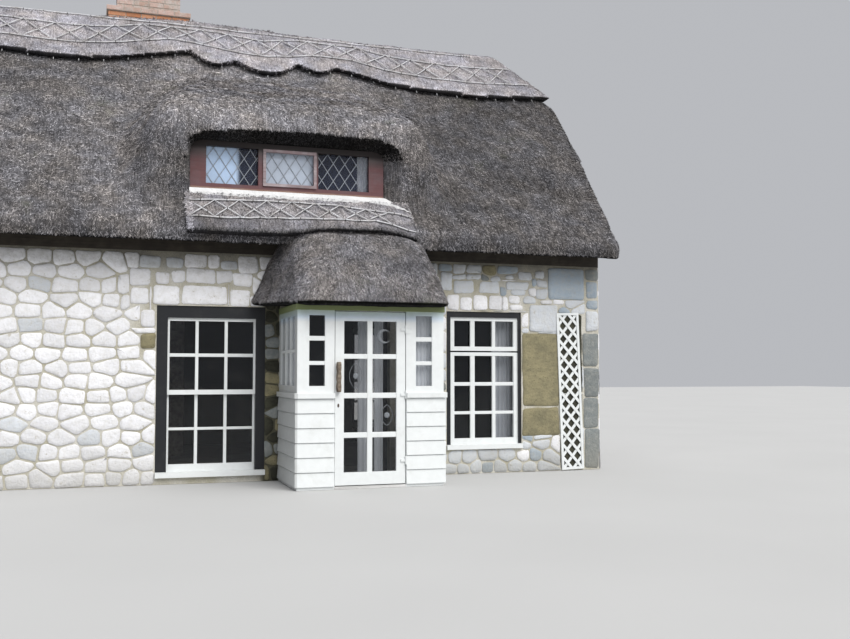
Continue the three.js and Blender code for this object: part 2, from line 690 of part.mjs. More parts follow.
function buildTrellis() {
  const { x, foot, lean, half, height, depth } = trellis;
  const { upright, slat, slatThick, diamondWide, diamondHigh } = trellisBar;
  const across = 2 * diamondWide;
  const climb = 2 * diamondHigh;
  const starts = evenly(-climb, height, Math.round((height + climb) / diamondHigh));
  const slats = starts.flatMap((z) => [-1, 1].map((side) => {
    const bar = new THREE.BoxGeometry(slat, slatThick, Math.hypot(across, climb) + slat);
    bar.rotateY(side * Math.atan2(across, climb));
    return bar.translate(0, side * 3 - 15, z + climb / 2);
  }));
  const uprights = [-half, half - upright].map((left) => box(left, left + upright, -depth, 0, 0, height));
  const rails = [0, height - upright].map((z) => box(-half, half, -depth, 0, z, z + upright));
  const limits = box(-half, half, -depth, 0, 0, height);
  const lattice = slats.reduce((sum, bar) => sum.add(solid(bar)), solid(join(...uprights, ...rails)));
  const mesh = place('trellis', surface(lattice.intersect(solid(limits))), whitePaint());
  mesh.position.set(x, front, foot);
  mesh.rotation.y = lean;
}

buildWalls();
buildFloors();
buildThatch();
buildPorchThatch();
buildChimney();
buildDormer();
buildLeftWindow();
buildRightWindow();
buildRearWindows();
buildPorchWalls();
buildDoor();
buildTrellis();

export default cottage;
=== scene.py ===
# Thatched cottage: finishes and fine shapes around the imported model, in metres with +Z up.
import json
import math
import random

import bpy
import numpy as np
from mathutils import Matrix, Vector, noise
from mathutils.bvhtree import BVHTree


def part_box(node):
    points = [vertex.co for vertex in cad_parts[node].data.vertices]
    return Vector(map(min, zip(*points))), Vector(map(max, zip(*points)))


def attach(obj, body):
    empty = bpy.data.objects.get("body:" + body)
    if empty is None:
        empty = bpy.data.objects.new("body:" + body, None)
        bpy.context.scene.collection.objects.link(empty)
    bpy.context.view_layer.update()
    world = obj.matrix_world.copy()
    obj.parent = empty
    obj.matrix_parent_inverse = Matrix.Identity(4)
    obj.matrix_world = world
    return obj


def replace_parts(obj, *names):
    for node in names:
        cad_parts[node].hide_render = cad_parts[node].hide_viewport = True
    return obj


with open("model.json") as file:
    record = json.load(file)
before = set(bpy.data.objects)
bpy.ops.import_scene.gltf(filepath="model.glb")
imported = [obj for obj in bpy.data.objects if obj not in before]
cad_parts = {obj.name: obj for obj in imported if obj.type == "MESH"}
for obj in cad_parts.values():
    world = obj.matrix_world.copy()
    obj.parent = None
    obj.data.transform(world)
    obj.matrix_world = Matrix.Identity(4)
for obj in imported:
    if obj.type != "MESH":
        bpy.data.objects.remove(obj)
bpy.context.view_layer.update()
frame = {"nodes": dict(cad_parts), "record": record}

# The house's own measure runs from the middle of the porch, the front wall's face and the ground
low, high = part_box("porch_ceiling")
ORIGIN = Vector(((low.x + high.x) / 2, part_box("front_wall_plate")[0].y, 0))


def node_box(node):
    """A node's lowest and highest corners in the house's own measure."""
    low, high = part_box(node)
    return low - ORIGIN, high - ORIGIN


PORCH_LOW, PORCH_HIGH = node_box("porch_ceiling")
WEST = node_box("left_gable")[0].x
EAST = node_box("right_gable")[1].x
REAR = node_box("rear_wall")[1].y
STONE_TOP = node_box("rear_wall")[1].z - 0.03
RIDGE_Y = REAR / 2
RIDGE_Z = node_box("rear_thatch")[1].z
EAVE_REACH = 0.5
EAVE_Z = 3.03
RUN = RIDGE_Y + EAVE_REACH
RISE = RIDGE_Z - EAVE_Z
SLOPE = math.hypot(RUN, RISE)


def on_slope(side, along, lift):
    """Y and Z of a point on a roof slope: side -1 is the front, 1 the rear."""
    y = RIDGE_Y + side * (along * RUN + lift * RISE) / SLOPE
    return y, RIDGE_Z + (lift * RUN - along * RISE) / SLOPE


# Shader arithmetic
class Value:
    """A socket of a finish. Arithmetic on it adds the Math nodes that work it out."""

    def __init__(self, finish, socket):
        self.finish = finish
        self.socket = socket

    def math(self, operation, other):
        return self.finish.value("Math", {0: self, 1: other}, operation=operation)

    def __add__(self, other):
        return self.math("ADD", other)

    def __mul__(self, other):
        return self.math("MULTIPLY", other)

    __radd__ = __add__
    __rmul__ = __mul__

    def spread(self, low, high, new_low=0.0, new_high=1.0):
        """The number moved from one range to another, held to its ends."""
        inputs = {0: self, 1: low, 2: high, 3: new_low, 4: new_high}
        return self.finish.value("MapRange", inputs, clamp=True)

    def within(self, low, high):
        """1 where the number lies between two limits, and 0 elsewhere."""
        return self.spread(low, low + 0.01) * self.spread(high, high - 0.01)


def opaque(color):
    """An RGB triple as the four numbers that a colour socket takes."""
    return color if isinstance(color, Value) else (*color, 1.0)


FINISHES = {}


class Finish:
    """A material whose colour is built up from a base by tints and shades laid over it."""

    def __init__(self, name, roughness, color, **constants):
        FINISHES[name] = bpy.data.materials.new(name)
        FINISHES[name].use_nodes = True
        self.tree = FINISHES[name].node_tree
        self.sockets = self.tree.nodes["Principled BSDF"].inputs
        self.color = color
        self.sockets["Roughness"].default_value = roughness
        for socket, amount in constants.items():
            self.sockets[socket.replace("_", " ")].default_value = amount

    def value(self, kind, inputs, output=0, **settings):
        """Adds a node: its settings first, then its sockets' values or links."""
        node = self.tree.nodes.new("ShaderNode" + kind)
        for name, setting in settings.items():
            setattr(node, name, setting)
        for socket, given in inputs.items():
            self.feed(node.inputs[socket], given)
        return Value(self, node.outputs[output])

    def feed(self, socket, given):
        if isinstance(given, Value):
            self.tree.links.new(given.socket, socket)
        else:
            socket.default_value = given

    def place(self, operation, other):
        """A point's place in the part's own measure, with vector arithmetic done on it."""
        spot = self.value("TexCoord", {}, "Object")
        return self.value("VectorMath", {0: spot, 1: other}, operation=operation)

    def along(self, axis):
        """How far a point lies along X, Y or Z in the house's own measure."""
        return self.value("SeparateXYZ", {0: self.place("SUBTRACT", ORIGIN)}, axis)

    def noise(self, scale, detail, rough, stretch=(1, 1, 1)):
        spot = self.place("MULTIPLY", stretch)
        return self.value("TexNoise", {"Vector": spot, "Scale": scale, "Detail": detail, "Roughness": rough})

    def one_by_one(self):
        """A number that differs from one loose piece to the next."""
        return self.value("NewGeometry", {}, "Random Per Island")

    def mix(self, share, first, second, blend="MIX"):
        inputs = {0: share, 6: opaque(first), 7: opaque(second)}
        return self.value("Mix", inputs, 2, data_type="RGBA", blend_type=blend)

    def tint(self, share, color, blend="MIX"):
        self.color = self.mix(share, self.color, color, blend)

    def shade(self, tone):
        """Makes the colour lighter or darker by a number that varies."""
        self.tint(1.0, self.value("CombineColor", {0: tone, 1: tone, 2: tone}), "MULTIPLY")

    def done(self, bump=None, depth=0.01):
        self.feed(self.sockets["Base Color"], opaque(self.color))
        if bump is not None:
            self.feed(self.sockets["Normal"], self.value("Bump", {"Height": bump, "Distance": depth}))


# Finishes, with linear colours. The straws' colours are light, mid and dark
STRAW = (0.54, 0.52, 0.53), (0.205, 0.198, 0.204), (0.038, 0.036, 0.037)
PALE_STRAW = (0.80, 0.78, 0.82), (0.53, 0.51, 0.545), (0.15, 0.14, 0.145)
MOSS = (0.085, 0.10, 0.045)
WHITE = (0.75, 0.775, 0.775)


def weather(finish, tone, straw, gain, mossy):
    """Straw from dark to light by a number, in darker patches and with a little moss."""
    light, mid, dark = (tuple(gain * part for part in color) for color in straw)
    finish.color = mid
    finish.tint(tone.spread(0.5, 1.0), light)
    finish.tint(tone.spread(0.5, 0.0), dark)
    finish.shade(finish.noise(0.8, 5, 0.6).spread(0.35, 0.65, 0.76, 1.2))
    finish.shade(finish.noise(5, 4, 0.7).spread(0.35, 0.65, 0.70, 1.26))
    warm_or_cool = finish.noise(2.6, 4, 0.6).spread(0.38, 0.62)
    finish.tint(1.0, finish.mix(warm_or_cool, (1.04, 1.0, 0.95), (0.98, 0.995, 1.04)), "MULTIPLY")
    finish.tint(finish.noise(1.6, 6, 0.7).spread(0.60, 0.74, 0.0, mossy), MOSS)


def tone_roof(finish):
    """The roof's thatch is palest above the dormer, and darker to its right, within a wandering limit."""
    wander = 1.6 * finish.noise(0.9, 4, 0.6)
    x = finish.along("X") + wander
    low, high = node_box("dormer_frame")
    across = x.spread(low.x - 0.2, low.x + 0.9) * x.spread(high.x + 1.9, high.x + 0.7)
    above = (finish.along("Z") + 0.3 * wander).spread(4.1, 4.6)
    finish.shade((across * above).spread(0, 1, 1.0, 1.45))
    finish.shade(x.spread(1.4, 2.4, 1.0, 0.64))


def loose_straw(name, straw, gain, mossy, toned=None):
    finish = Finish(name, 0.9, None, Specular_IOR_Level=0.25)
    weather(finish, finish.one_by_one(), straw, gain, mossy)
    if toned:
        toned(finish)
    finish.done()


def paint_soffit_shade(finish):
    """Painted shade, nearly black, on the soffit over the dormer's head."""
    head = node_box("dormer_frame")[1].z
    finish.shade(finish.along("Z").spread(head - 0.10, head - 0.03, 1.0, 0.22))


def darken_low_apron(finish):
    """Darker towards the apron's lower edge."""
    low = finish.along("Z") + 0.05 * finish.noise(6, 3, 0.6)
    finish.shade(low.spread(3.14, 3.25, 0.46, 1.0))


def thatch_coat(name, straw, gain, cut=(-0.5, -0.1), toned=None):
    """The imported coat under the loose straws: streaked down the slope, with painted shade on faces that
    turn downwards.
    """
    finish = Finish(name, 0.95, None, Specular_IOR_Level=0.1)
    streaks = finish.noise(55, 4, 0.7, (1, 0.12, 0.12))
    weather(finish, streaks.spread(0.25, 0.75), straw, gain, 0.4)
    # Painted shade: darker the more a face turns downwards, as on cut edges and undersides
    facing_up = finish.value("SeparateXYZ", {0: finish.value("NewGeometry", {}, "Normal")}, "Z")
    finish.shade(facing_up.spread(*cut, 0.12, 1.0))
    if toned:
        toned(finish)
    finish.done(streaks, 0.03)


def under_eaves(finish, wander):
    """How far a point is up under the eaves of the front or the rear wall, from 0 to 1."""
    y = finish.along("Y")
    long_walls = y.spread(0.05, 0.1, 1.0, 0.0) + y.spread(REAR - 0.1, REAR - 0.05)
    return (finish.along("Z") + wander).spread(2.80, 3.08) * long_walls


def limewashed(name, color, worn=0.6):
    """Limewash on rough stone: tone by stone, mottled, with bare chips and grey weather low down."""
    finish = Finish(name, 0.85, color)
    blotch = finish.noise(3.5, 5, 0.6)
    finish.shade(finish.one_by_one().spread(0, 1, 0.84, 1.04) * blotch.spread(0.3, 0.7, 0.88, 1.04))
    finish.tint(finish.noise(14, 5, 0.7).spread(0.42, 0.66, 0.0, worn * 0.6), (0.50, 0.48, 0.42))
    finish.tint(finish.noise(11, 6, 0.75).spread(0.60, 0.68, 0.0, worn), (0.34, 0.30, 0.21))
    finish.tint((finish.along("Z") + 0.5 * blotch).spread(0.75, 0.2, 0.0, 0.5), (0.27, 0.26, 0.22))
    finish.tint(worn * under_eaves(finish, 0.5 * blotch), (0.10, 0.09, 0.06))
    finish.done(finish.noise(34, 5, 0.65), 0.012)


def bare_stone(name, color, banded):
    finish = Finish(name, 0.9, color)
    finish.tint(finish.noise(5, 6, 0.7, (1, 1, 1.6)).spread(0.36, 0.64), banded)
    finish.shade(finish.one_by_one().spread(0, 1, 0.85, 1.1))
    spot = finish.place("MULTIPLY", (1, 1, 1))
    cells = finish.value("TexVoronoi", {"Vector": spot, "Scale": 36}, "Distance")
    pits = cells.spread(0.0, 0.3, 0.45, 1.0)
    finish.shade(pits)
    finish.done(0.7 * finish.noise(30, 6, 0.7) + 0.5 * pits, 0.012)


def mortar():
    """Lime mortar, dark under the eaves and mossy beside the porch, with painted shade on the walls inside.
    """
    finish = Finish("mortar", 0.95, (0.48, 0.45, 0.35))
    x, y, z = (finish.along(axis) for axis in "XYZ")
    patches = finish.noise(2.2, 5, 0.65)
    finish.tint(patches.spread(0.38, 0.62), (0.68, 0.66, 0.60))
    grain = finish.noise(60, 5, 0.7)
    finish.shade(grain.spread(0.3, 0.7, 0.7, 1.1))
    finish.tint(0.8 * under_eaves(finish, 0.6 * patches), (0.055, 0.050, 0.033))
    pier = x.spread(PORCH_LOW.x - 0.24, PORCH_LOW.x - 0.18) * x.spread(PORCH_LOW.x, PORCH_LOW.x - 0.01)
    finish.tint(pier * z.spread(2.4, 2.3), (0.10, 0.095, 0.065))
    # Painted shade: the walls' inner faces are made dark, as in an unlit room
    skin = 0.12
    finish.tint(x.within(WEST + skin, EAST - skin) * y.within(skin, REAR - skin), (0.045, 0.04, 0.035))
    finish.done(grain)


def paint(name, color, dirt, dirty):
    """Brushed paint: faint strokes, chips, and dirt that gathers in patches."""
    finish = Finish(name, 0.42, color)
    strokes = finish.noise(40, 3, 0.5, (0.3, 0.3, 0.3))
    patches = finish.noise(4, 6, 0.7).spread(0.55, 0.8, 0.0, dirty)
    finish.tint(patches, dirt)
    finish.shade(strokes.spread(0.3, 0.7, 0.965, 1.02))
    finish.feed(finish.sockets["Roughness"], patches.spread(0.0, dirty, 0.38, 0.7))
    finish.done(strokes, 0.0015)


def porch_paint():
    """The porch's white paint: blue with painted shade and tinged green with algae below its head, and grey
    with painted shade on its left side.
    """
    finish = Finish("porch_paint", 0.42, WHITE)
    strokes = finish.noise(40, 3, 0.5, (0.3, 0.3, 0.3))
    finish.shade(strokes.spread(0.3, 0.7, 0.965, 1.02))
    finish.tint(finish.noise(4, 6, 0.7).spread(0.55, 0.8, 0.0, 0.3), (0.40, 0.40, 0.35))
    # Painted shade on the left side, which faces away from the sun
    finish.shade(finish.along("X").spread(PORCH_LOW.x, PORCH_LOW.x + 0.01, 0.68, 1.0))
    z = finish.along("Z")
    # Painted shadow of the thatch, blue, from just below the head upwards
    finish.tint(z.spread(1.90, 1.96), (0.76, 0.85, 0.97), "MULTIPLY")
    finish.tint((z + 0.06 * finish.noise(9, 5, 0.65)).spread(1.98, 2.07, 0.0, 0.55), (0.29, 0.37, 0.20))
    finish.done(strokes, 0.0015)


def mossed_paint():
    """White paint, greyed blue by painted shade under the thatch, with green algae that grows down from the
    top edge.
    """
    # The blue grey base is painted shade under the porch thatch
    finish = Finish("mossed_paint", 0.6, (0.62, 0.66, 0.70))
    wander = finish.noise(9, 5, 0.65)
    finish.tint((finish.along("Z") + 0.04 * wander).spread(2.03, 2.06, 0.25, 0.95), (0.15, 0.185, 0.055))
    finish.done(wander, 0.002)


def timber(name, color, worn, scale=30, stretch=(0.06, 1, 1)):
    finish = Finish(name, 0.75, color)
    finish.tint(finish.noise(6, 4, 0.6).spread(0.4, 0.65), worn)
    grain = finish.noise(scale, 5, 0.7, stretch)
    finish.shade(grain.spread(0.3, 0.7, 0.6, 1.25))
    finish.done(grain, 0.004)


def red_timber():
    """Worn red paint: painted shade, nearly black, on the head under the thatch's lip, and bare along the
    sill.
    """
    finish = Finish("red_frame", 0.55, (0.115, 0.042, 0.045))
    finish.tint(finish.noise(6, 4, 0.6).spread(0.45, 0.68), (0.12, 0.062, 0.068))
    z = finish.along("Z") + 0.02 * finish.noise(8, 4, 0.6)
    # Painted shade: darker towards the head, then nearly black on the head under the lip
    finish.tint(z.spread(3.93, 4.04), (0.085, 0.065, 0.065))
    finish.tint(z.spread(4.04, 4.09), (0.016, 0.010, 0.009))
    finish.tint(z.spread(3.595, 3.58, 0.0, 0.7), (0.32, 0.20, 0.14))
    grain = finish.noise(30, 5, 0.7, (0.06, 1, 1))
    finish.shade(grain.spread(0.3, 0.7, 0.85, 1.1))
    finish.done(grain, 0.002)


def brick():
    """Orange brick below the drip course, weathered pale and furred with lichen above it."""
    finish = Finish("brick", 0.9, (0.44, 0.30, 0.24))
    finish.tint(finish.one_by_one(), (0.56, 0.41, 0.36))
    finish.tint(finish.noise(9, 6, 0.7).spread(0.47, 0.62, 0.0, 0.75), (0.50, 0.47, 0.44))
    orange = finish.mix(finish.one_by_one(), (0.46, 0.18, 0.08), (0.60, 0.30, 0.17))
    finish.tint(finish.along("Z").spread(6.64, 6.60), orange)
    finish.tint(finish.noise(5, 6, 0.7).spread(0.52, 0.7, 0.0, 0.5), (0.20, 0.17, 0.14))
    grain = finish.noise(60, 5, 0.7)
    finish.shade(grain.spread(0.3, 0.7, 0.8, 1.1))
    finish.done(grain, 0.006)


def glass(name, color, alpha):
    """Old glass: faintly rippled, in tones that drift across the sheet."""
    finish = Finish(name, 0.05, color, Alpha=alpha, Specular_IOR_Level=0.8)
    finish.shade(finish.noise(1.3, 3, 0.5).spread(0.3, 0.7, 0.6, 1.5))
    finish.done(finish.noise(3.5, 2, 0.4))


def dormer_panes():
    """Clear glass, with a painted reflection of pale sky in the left light and a paler painted reflection in
    the casement.
    """
    finish = Finish("dormer_glass", 0.05, (0.05, 0.06, 0.10), Specular_IOR_Level=0.8)
    # Painted reflections: pale blue sky over the left light and a paler one over the casement, where the
    # glass is made less clear
    sky_edge = -1.40
    sky = finish.along("X").spread(sky_edge + 0.03, sky_edge - 0.03)
    casement = finish.along("X").within(*(corner.x for corner in node_box("dormer_casement")))
    finish.feed(finish.sockets["Alpha"], 0.36 * casement + 0.30 * sky + 0.30)
    finish.tint(casement, (0.64, 0.72, 0.84))
    finish.tint(sky, (0.60, 0.77, 1.0))
    finish.shade(finish.noise(2.5, 3, 0.5).spread(0.3, 0.7, 0.85, 1.15))
    finish.done(finish.noise(3.5, 2, 0.4))


def fine_grained(name, color, worn, scale, roughness, depth=0.001, **constants):
    finish = Finish(name, roughness, color, **constants)
    grain = finish.noise(scale, 4, 0.6)
    finish.tint(grain.spread(0.35, 0.7), worn)
    finish.done(grain, depth)


def mix_finishes():
    loose_straw("straw", STRAW, 1.0, 0.4, tone_roof)
    loose_straw("porch_straw", STRAW, 0.97, 0.3)
    loose_straw("apron_straw", STRAW, 1.3, 0.1, darken_low_apron)
    loose_straw("dark_straw", STRAW, 0.62, 0.75, paint_soffit_shade)
    loose_straw("pale_straw", PALE_STRAW, 1.0, 0.12)
    thatch_coat("thatch", STRAW, 0.6, toned=tone_roof)
    # Painted shade on the ridge skirt's edge, which faces down the slope
    thatch_coat("pale_thatch", PALE_STRAW, 0.6, cut=(0.15, 0.5))
    thatch_coat("cut_straw", STRAW, 0.13)
    limewashed("white_stone", (0.92, 0.92, 0.95))
    limewashed("grey_wash", (0.37, 0.44, 0.51))
    limewashed("dull_white", (0.66, 0.69, 0.73))
    limewashed("lime", (0.90, 0.90, 0.91), 0.15)
    limewashed("grey_stone", (0.20, 0.22, 0.22), 0.4)
    bare_stone("buff_stone", (0.29, 0.257, 0.148), (0.172, 0.155, 0.095))
    # Very dark stones: moss on the pier beside the porch, and painted shade behind the trellis
    bare_stone("mossed_stone", (0.055, 0.055, 0.035), (0.022, 0.021, 0.014))
    bare_stone("floor_stone", (0.26, 0.25, 0.22), (0.18, 0.17, 0.15))
    bare_stone("clay", (0.42, 0.19, 0.11), (0.30, 0.14, 0.08))
    mortar()
    brick()
    fine_grained("brick_mortar", (0.44, 0.40, 0.35), (0.26, 0.23, 0.20), 24, 0.95, 0.004)
    paint("white_paint", WHITE, (0.36, 0.36, 0.31), 0.3)
    paint("black_paint", (0.007, 0.008, 0.011), (0.04, 0.04, 0.037), 0.4)
    mossed_paint()
    porch_paint()
    red_timber()
    timber("dark_timber", (0.022, 0.016, 0.010), (0.04, 0.032, 0.022))
    timber("grey_timber", (0.27, 0.20, 0.21), (0.36, 0.31, 0.32))
    timber("handle_wood", (0.07, 0.045, 0.03), (0.25, 0.20, 0.15), 40, (1, 1, 0.4))
    timber("hazel", (0.63, 0.635, 0.66), (0.44, 0.42, 0.41), 30, (1, 1, 1))
    glass("window_glass", (0.010, 0.012, 0.015), 0.25)
    glass("clear_glass", (0.02, 0.022, 0.026), 0.19)
    dormer_panes()
    fine_grained("frosted_glass", (0.62, 0.66, 0.70), (0.45, 0.49, 0.54), 60, 0.2)
    fine_grained("lead", (0.30, 0.33, 0.37), (0.18, 0.19, 0.21), 80, 0.5, Metallic=0.3)
    fine_grained("iron", (0.05, 0.05, 0.05), (0.14, 0.07, 0.04), 70, 0.5, Metallic=0.7)
    fine_grained("cloth", (0.88, 0.91, 0.96), (0.80, 0.84, 0.90), 160, 0.9)


# Slots of the record, each with the finishes that have no slot of their own
SLOTS = {
    "thatch": ("straw", "porch_straw", "dark_straw", "apron_straw", "pale_straw", "pale_thatch", "hazel"),
    "white_stone": ("lime",),
    "white_paint": ("mossed_paint", "porch_paint"),
    "window_glass": ("frosted_glass", "lead"),
}


# Gathering shapes into pieces
class Shape:
    """The points and faces of one piece, each face with one of the piece's finishes."""

    def __init__(self):
        self.points = []
        self.faces = []
        self.kinds = []

    def add(self, points, faces, kind=0):
        start = len(self.points)
        self.points.extend(tuple(point) for point in points)
        self.faces.extend([start + corner for corner in face] for face in faces)
        self.kinds.extend([kind] * len(faces))

    def skin(self, rings, kind=0):
        """A skin through rings of as many points each, with an end face on the first and last."""
        count = len(rings[0])
        last = (len(rings) - 1) * count
        faces = []
        for low in range(0, last, count):
            for i in range(count):
                j = (i + 1) % count
                faces.append([low + i, low + j, low + j + count, low + i + count])
        faces += [list(range(count))[::-1], [last + i for i in range(count)]]
        self.add([point for ring in rings for point in ring], faces, kind)

    def block(self, low, high):
        (x0, y0, z0), (x1, y1, z1) = low, high
        self.skin([[(x0, y0, z), (x1, y0, z), (x1, y1, z), (x0, y1, z)] for z in (z0, z1)])

    def rod(self, path, radius, sides=6, kind=0):
        """A round rod through a path of points, pinched a little at both ends."""
        path = [Vector(point) for point in path]
        rings = []
        for i, point in enumerate(path):
            ahead = (path[min(i + 1, len(path) - 1)] - path[max(i - 1, 0)]).normalized()
            side = ahead.cross(Vector((0.13, 0.31, 0.94))).normalized()
            up = side.cross(ahead)
            thick = radius * (0.6 if i in (0, len(path) - 1) else 1.0)
            rings.append([point + thick * (across * side + over * up) for across, over in circle(sides)])
        self.skin(rings, kind)

    def make(self, name, *finishes, body="house", edge=0.0, smooth=False):
        mesh = bpy.data.meshes.new(name)
        mesh.from_pydata([Vector(point) + ORIGIN for point in self.points], [], self.faces)
        mesh.polygons.foreach_set("material_index", self.kinds)
        return piece_of(name, mesh, finishes, body, edge, smooth)


def circle(sides):
    """The corners of a regular polygon in a circle of radius 1."""
    turns = [2 * math.pi * k / sides for k in range(sides)]
    return [(math.cos(turn), math.sin(turn)) for turn in turns]


def piece_of(name, mesh, finishes, body="house", edge=0.0, smooth=False):
    """A mesh as a piece that rides on a body, with eased edges where it is joinery."""
    for finish in finishes:
        mesh.materials.append(FINISHES[finish])
    mesh.polygons.foreach_set("use_smooth", [smooth] * len(mesh.polygons))
    piece = bpy.data.objects.new(name, mesh)
    bpy.context.scene.collection.objects.link(piece)
    if edge:
        easing = piece.modifiers.new("eased_edges", "BEVEL")
        easing.width = edge
        easing.segments = 1
    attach(piece, body)
    slot = next((slot for slot, others in SLOTS.items() if finishes[0] in others), finishes[0])
    slot in {material["slot"] for material in frame["record"]["materials"]}
    return piece


def read(values, attribute, width):
    """An attribute of all of a mesh's points or faces, one row each."""
    data = np.empty(len(values) * width)
    values.foreach_get(attribute, data)
    return data.reshape(-1, width)


# Thatch. A straw lies mostly above the place where it is laid, so that edges stay crisp, and where
# the thatch is cut steeply only the straws' short ends show
PAST_ROOT = 0.2
SHORTEST = 0.5


class Coat:
    """A thatch node's shape, rounded and lumpy, with straws laid on it down the slope."""

    def __init__(self, node, finish, voxel, smoothing, lump):
        self.node = node
        self.mesh = even_mesh(frame["nodes"][node].data, voxel)
        points = eased(self.mesh, smoothing)
        self.move(points)
        places = [Vector(point) for point in points]
        lift = [lump * noise.noise(p * 2.3) + 0.45 * lump * noise.noise(p * 9) for p in places]
        points = points + read(self.mesh.vertex_normals, "vector", 3) * np.array(lift)[:, None]
        self.move(points)
        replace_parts(piece_of(node + "_coat", self.mesh, (finish, "cut_straw"), smooth=True), node)
        polygons = self.mesh.polygons
        self.tree = BVHTree.FromPolygons([Vector(p) for p in points], [p.vertices for p in polygons])
        self.middles = read(polygons, "center", 3) - np.array(ORIGIN)
        self.normals = read(polygons, "normal", 3)
        self.areas = read(polygons, "area", 1)[:, 0]

    def move(self, points):
        self.mesh.vertices.foreach_set("co", points.ravel())
        self.mesh.update()

    # Gives chosen faces the very dark cut straw: painted shade where faces lie inside the thatch or under a
    # soffit
    def paint_shade_on(self, chosen):
        self.mesh.polygons.foreach_set("material_index", chosen.astype(np.int32))

    def landed(self, side, places, lift):
        """Points on the coat below places (x, along) on a roof slope, lifted off it a little."""
        square = Vector((0, side * RISE, RUN)) / SLOPE
        spots = []
        for x, along in places:
            start = Vector((x, *on_slope(side, along, 1.6))) + ORIGIN
            hit, normal = self.tree.ray_cast(start, -square)[:2]
            if hit is not None and abs(normal.x) <= 0.4:
                spots.append(hit - ORIGIN + square * lift)
        return spots

    def lay(self, finish, count, weight, length, width, seed, stray=0.9, rise=0.022):
        """Lays loose straws on the coat, each a sliver that points down the slope, give or take."""
        rng = np.random.default_rng(seed)
        points = read(self.mesh.vertices, "co", 3)
        normals = read(self.mesh.vertex_normals, "vector", 3)
        corners = [[*p.vertices, p.vertices[-1]][:4] for p in self.mesh.polygons]
        share = self.areas * weight / np.clip(1.4 * self.normals[:, 2], SHORTEST, 1.0) ** 1.5
        chosen = np.array(corners)[rng.choice(len(corners), count, p=share / share.sum())]
        u, v = rng.random((2, count, 1))
        blend = ((1 - u) * (1 - v), u * (1 - v), u * v, (1 - u) * v)
        root = sum(part * points[chosen[:, i]] for i, part in enumerate(blend))
        normal = unit(sum(part * normals[chosen[:, i]] for i, part in enumerate(blend)))
        down = unit(normal * normal[:, 2:] - np.array((0, 0, 1.0)))
        across = np.cross(normal, down)
        veer = rng.normal(0, stray, (count, 1))
        ahead = down * np.cos(veer) + across * np.sin(veer)
        tilt = rng.normal(0, 0.4, (count, 1))
        side = np.cross(normal, ahead) * np.cos(tilt) + normal * np.sin(tilt)
        short = np.clip(1.4 * normal[:, 2:], SHORTEST, 1.0)
        long = length * short * rng.uniform(0.6, 1.3, (count, 1))
        half = width * short ** 0.5 * rng.uniform(0.6, 1.3, (count, 1)) / 2
        start = root - ahead * long * (1 - PAST_ROOT) - normal * 0.003
        tip = root + ahead * long * PAST_ROOT + normal * rise * rng.uniform(0.15, 1.0, (count, 1)) ** 2
        slivers = np.stack([start - side * half, start + side * half, tip], 1)
        straw_piece(f"{self.node}_{finish}", slivers, finish)


def even_mesh(mesh, voxel):
    """A copy of a mesh in even faces of about one size."""
    blank = bpy.data.objects.new("blank", mesh.copy())
    bpy.context.scene.collection.objects.link(blank)
    remesh = blank.modifiers.new("even_faces", "REMESH")
    remesh.mode = "VOXEL"
    remesh.voxel_size = voxel
    graph = bpy.context.evaluated_depsgraph_get()
    shaped = bpy.data.meshes.new_from_object(blank.evaluated_get(graph))
    bpy.data.objects.remove(blank)
    shaped.materials.clear()
    return shaped


def eased(mesh, rounds):
    """A mesh's points, each drawn towards its neighbours in a few rounds."""
    points = read(mesh.vertices, "co", 3)
    ends = np.empty(len(mesh.edges) * 2, dtype=np.int64)
    mesh.edges.foreach_get("vertices", ends)
    ends = ends.reshape(-1, 2)
    count = np.bincount(ends.ravel(), minlength=len(points))[:, None]
    for _ in range(rounds):
        near = np.zeros_like(points)
        for one, other in ((0, 1), (1, 0)):
            np.add.at(near, ends[:, one], points[ends[:, other]])
        points = 0.5 * points + 0.5 * near / np.maximum(count, 1)
    return points


def unit(vectors):
    return vectors / np.maximum(np.linalg.norm(vectors, axis=1, keepdims=True), 1e-9)


def straw_piece(name, slivers, finish):
    """Loose straws as one piece, each with a square of its own on the piece's map."""
    count = len(slivers)
    mesh = bpy.data.meshes.new(name)
    mesh.vertices.add(3 * count)
    mesh.loops.add(3 * count)
    mesh.polygons.add(count)
    mesh.vertices.foreach_set("co", slivers.ravel())
    mesh.loops.foreach_set("vertex_index", np.arange(3 * count, dtype=np.int32))
    mesh.polygons.foreach_set("loop_start", np.arange(0, 3 * count, 3, dtype=np.int32))
    mesh.polygons.foreach_set("loop_total", np.full(count, 3, dtype=np.int32))
    side = math.ceil(math.sqrt(count))
    spot = np.stack([np.arange(count) % side, np.arange(count) // side], 1)[:, None, :]
    corner = np.array([[0.1, 0.1], [0.9, 0.1], [0.5, 0.9]])
    mesh.uv_layers.new(name="OFBake").uv.foreach_set("vector", ((spot + corner) / side).ravel())
    mesh.update(calc_edges=True)
    piece_of(name, mesh, (finish,))


def over_roof(middles):
    """How far faces lie from the ridge across the house, and how high over the roof's slopes."""
    from_ridge = np.abs(middles[:, 1] - RIDGE_Y)
    return from_ridge, ((middles[:, 2] - RIDGE_Z) * RUN + from_ridge * RISE) / SLOPE


def in_mouth(middles, normals):
    """Faces of the mouth in the thatch round the dormer's window: its soffit and its two cheeks."""
    x, y, z = middles.T
    low, high = node_box("dormer_frame")
    near = (x > low.x - 0.2) & (x < high.x + 0.32) & (z > low.z - 0.08) & (z < high.z + 0.16)
    inward = np.sign(x - (low.x + high.x) / 2) * normals[:, 0] < -0.35
    return near & (y > -0.33) & (y < 0.1) & (inward | (normals[:, 2] < -0.6))


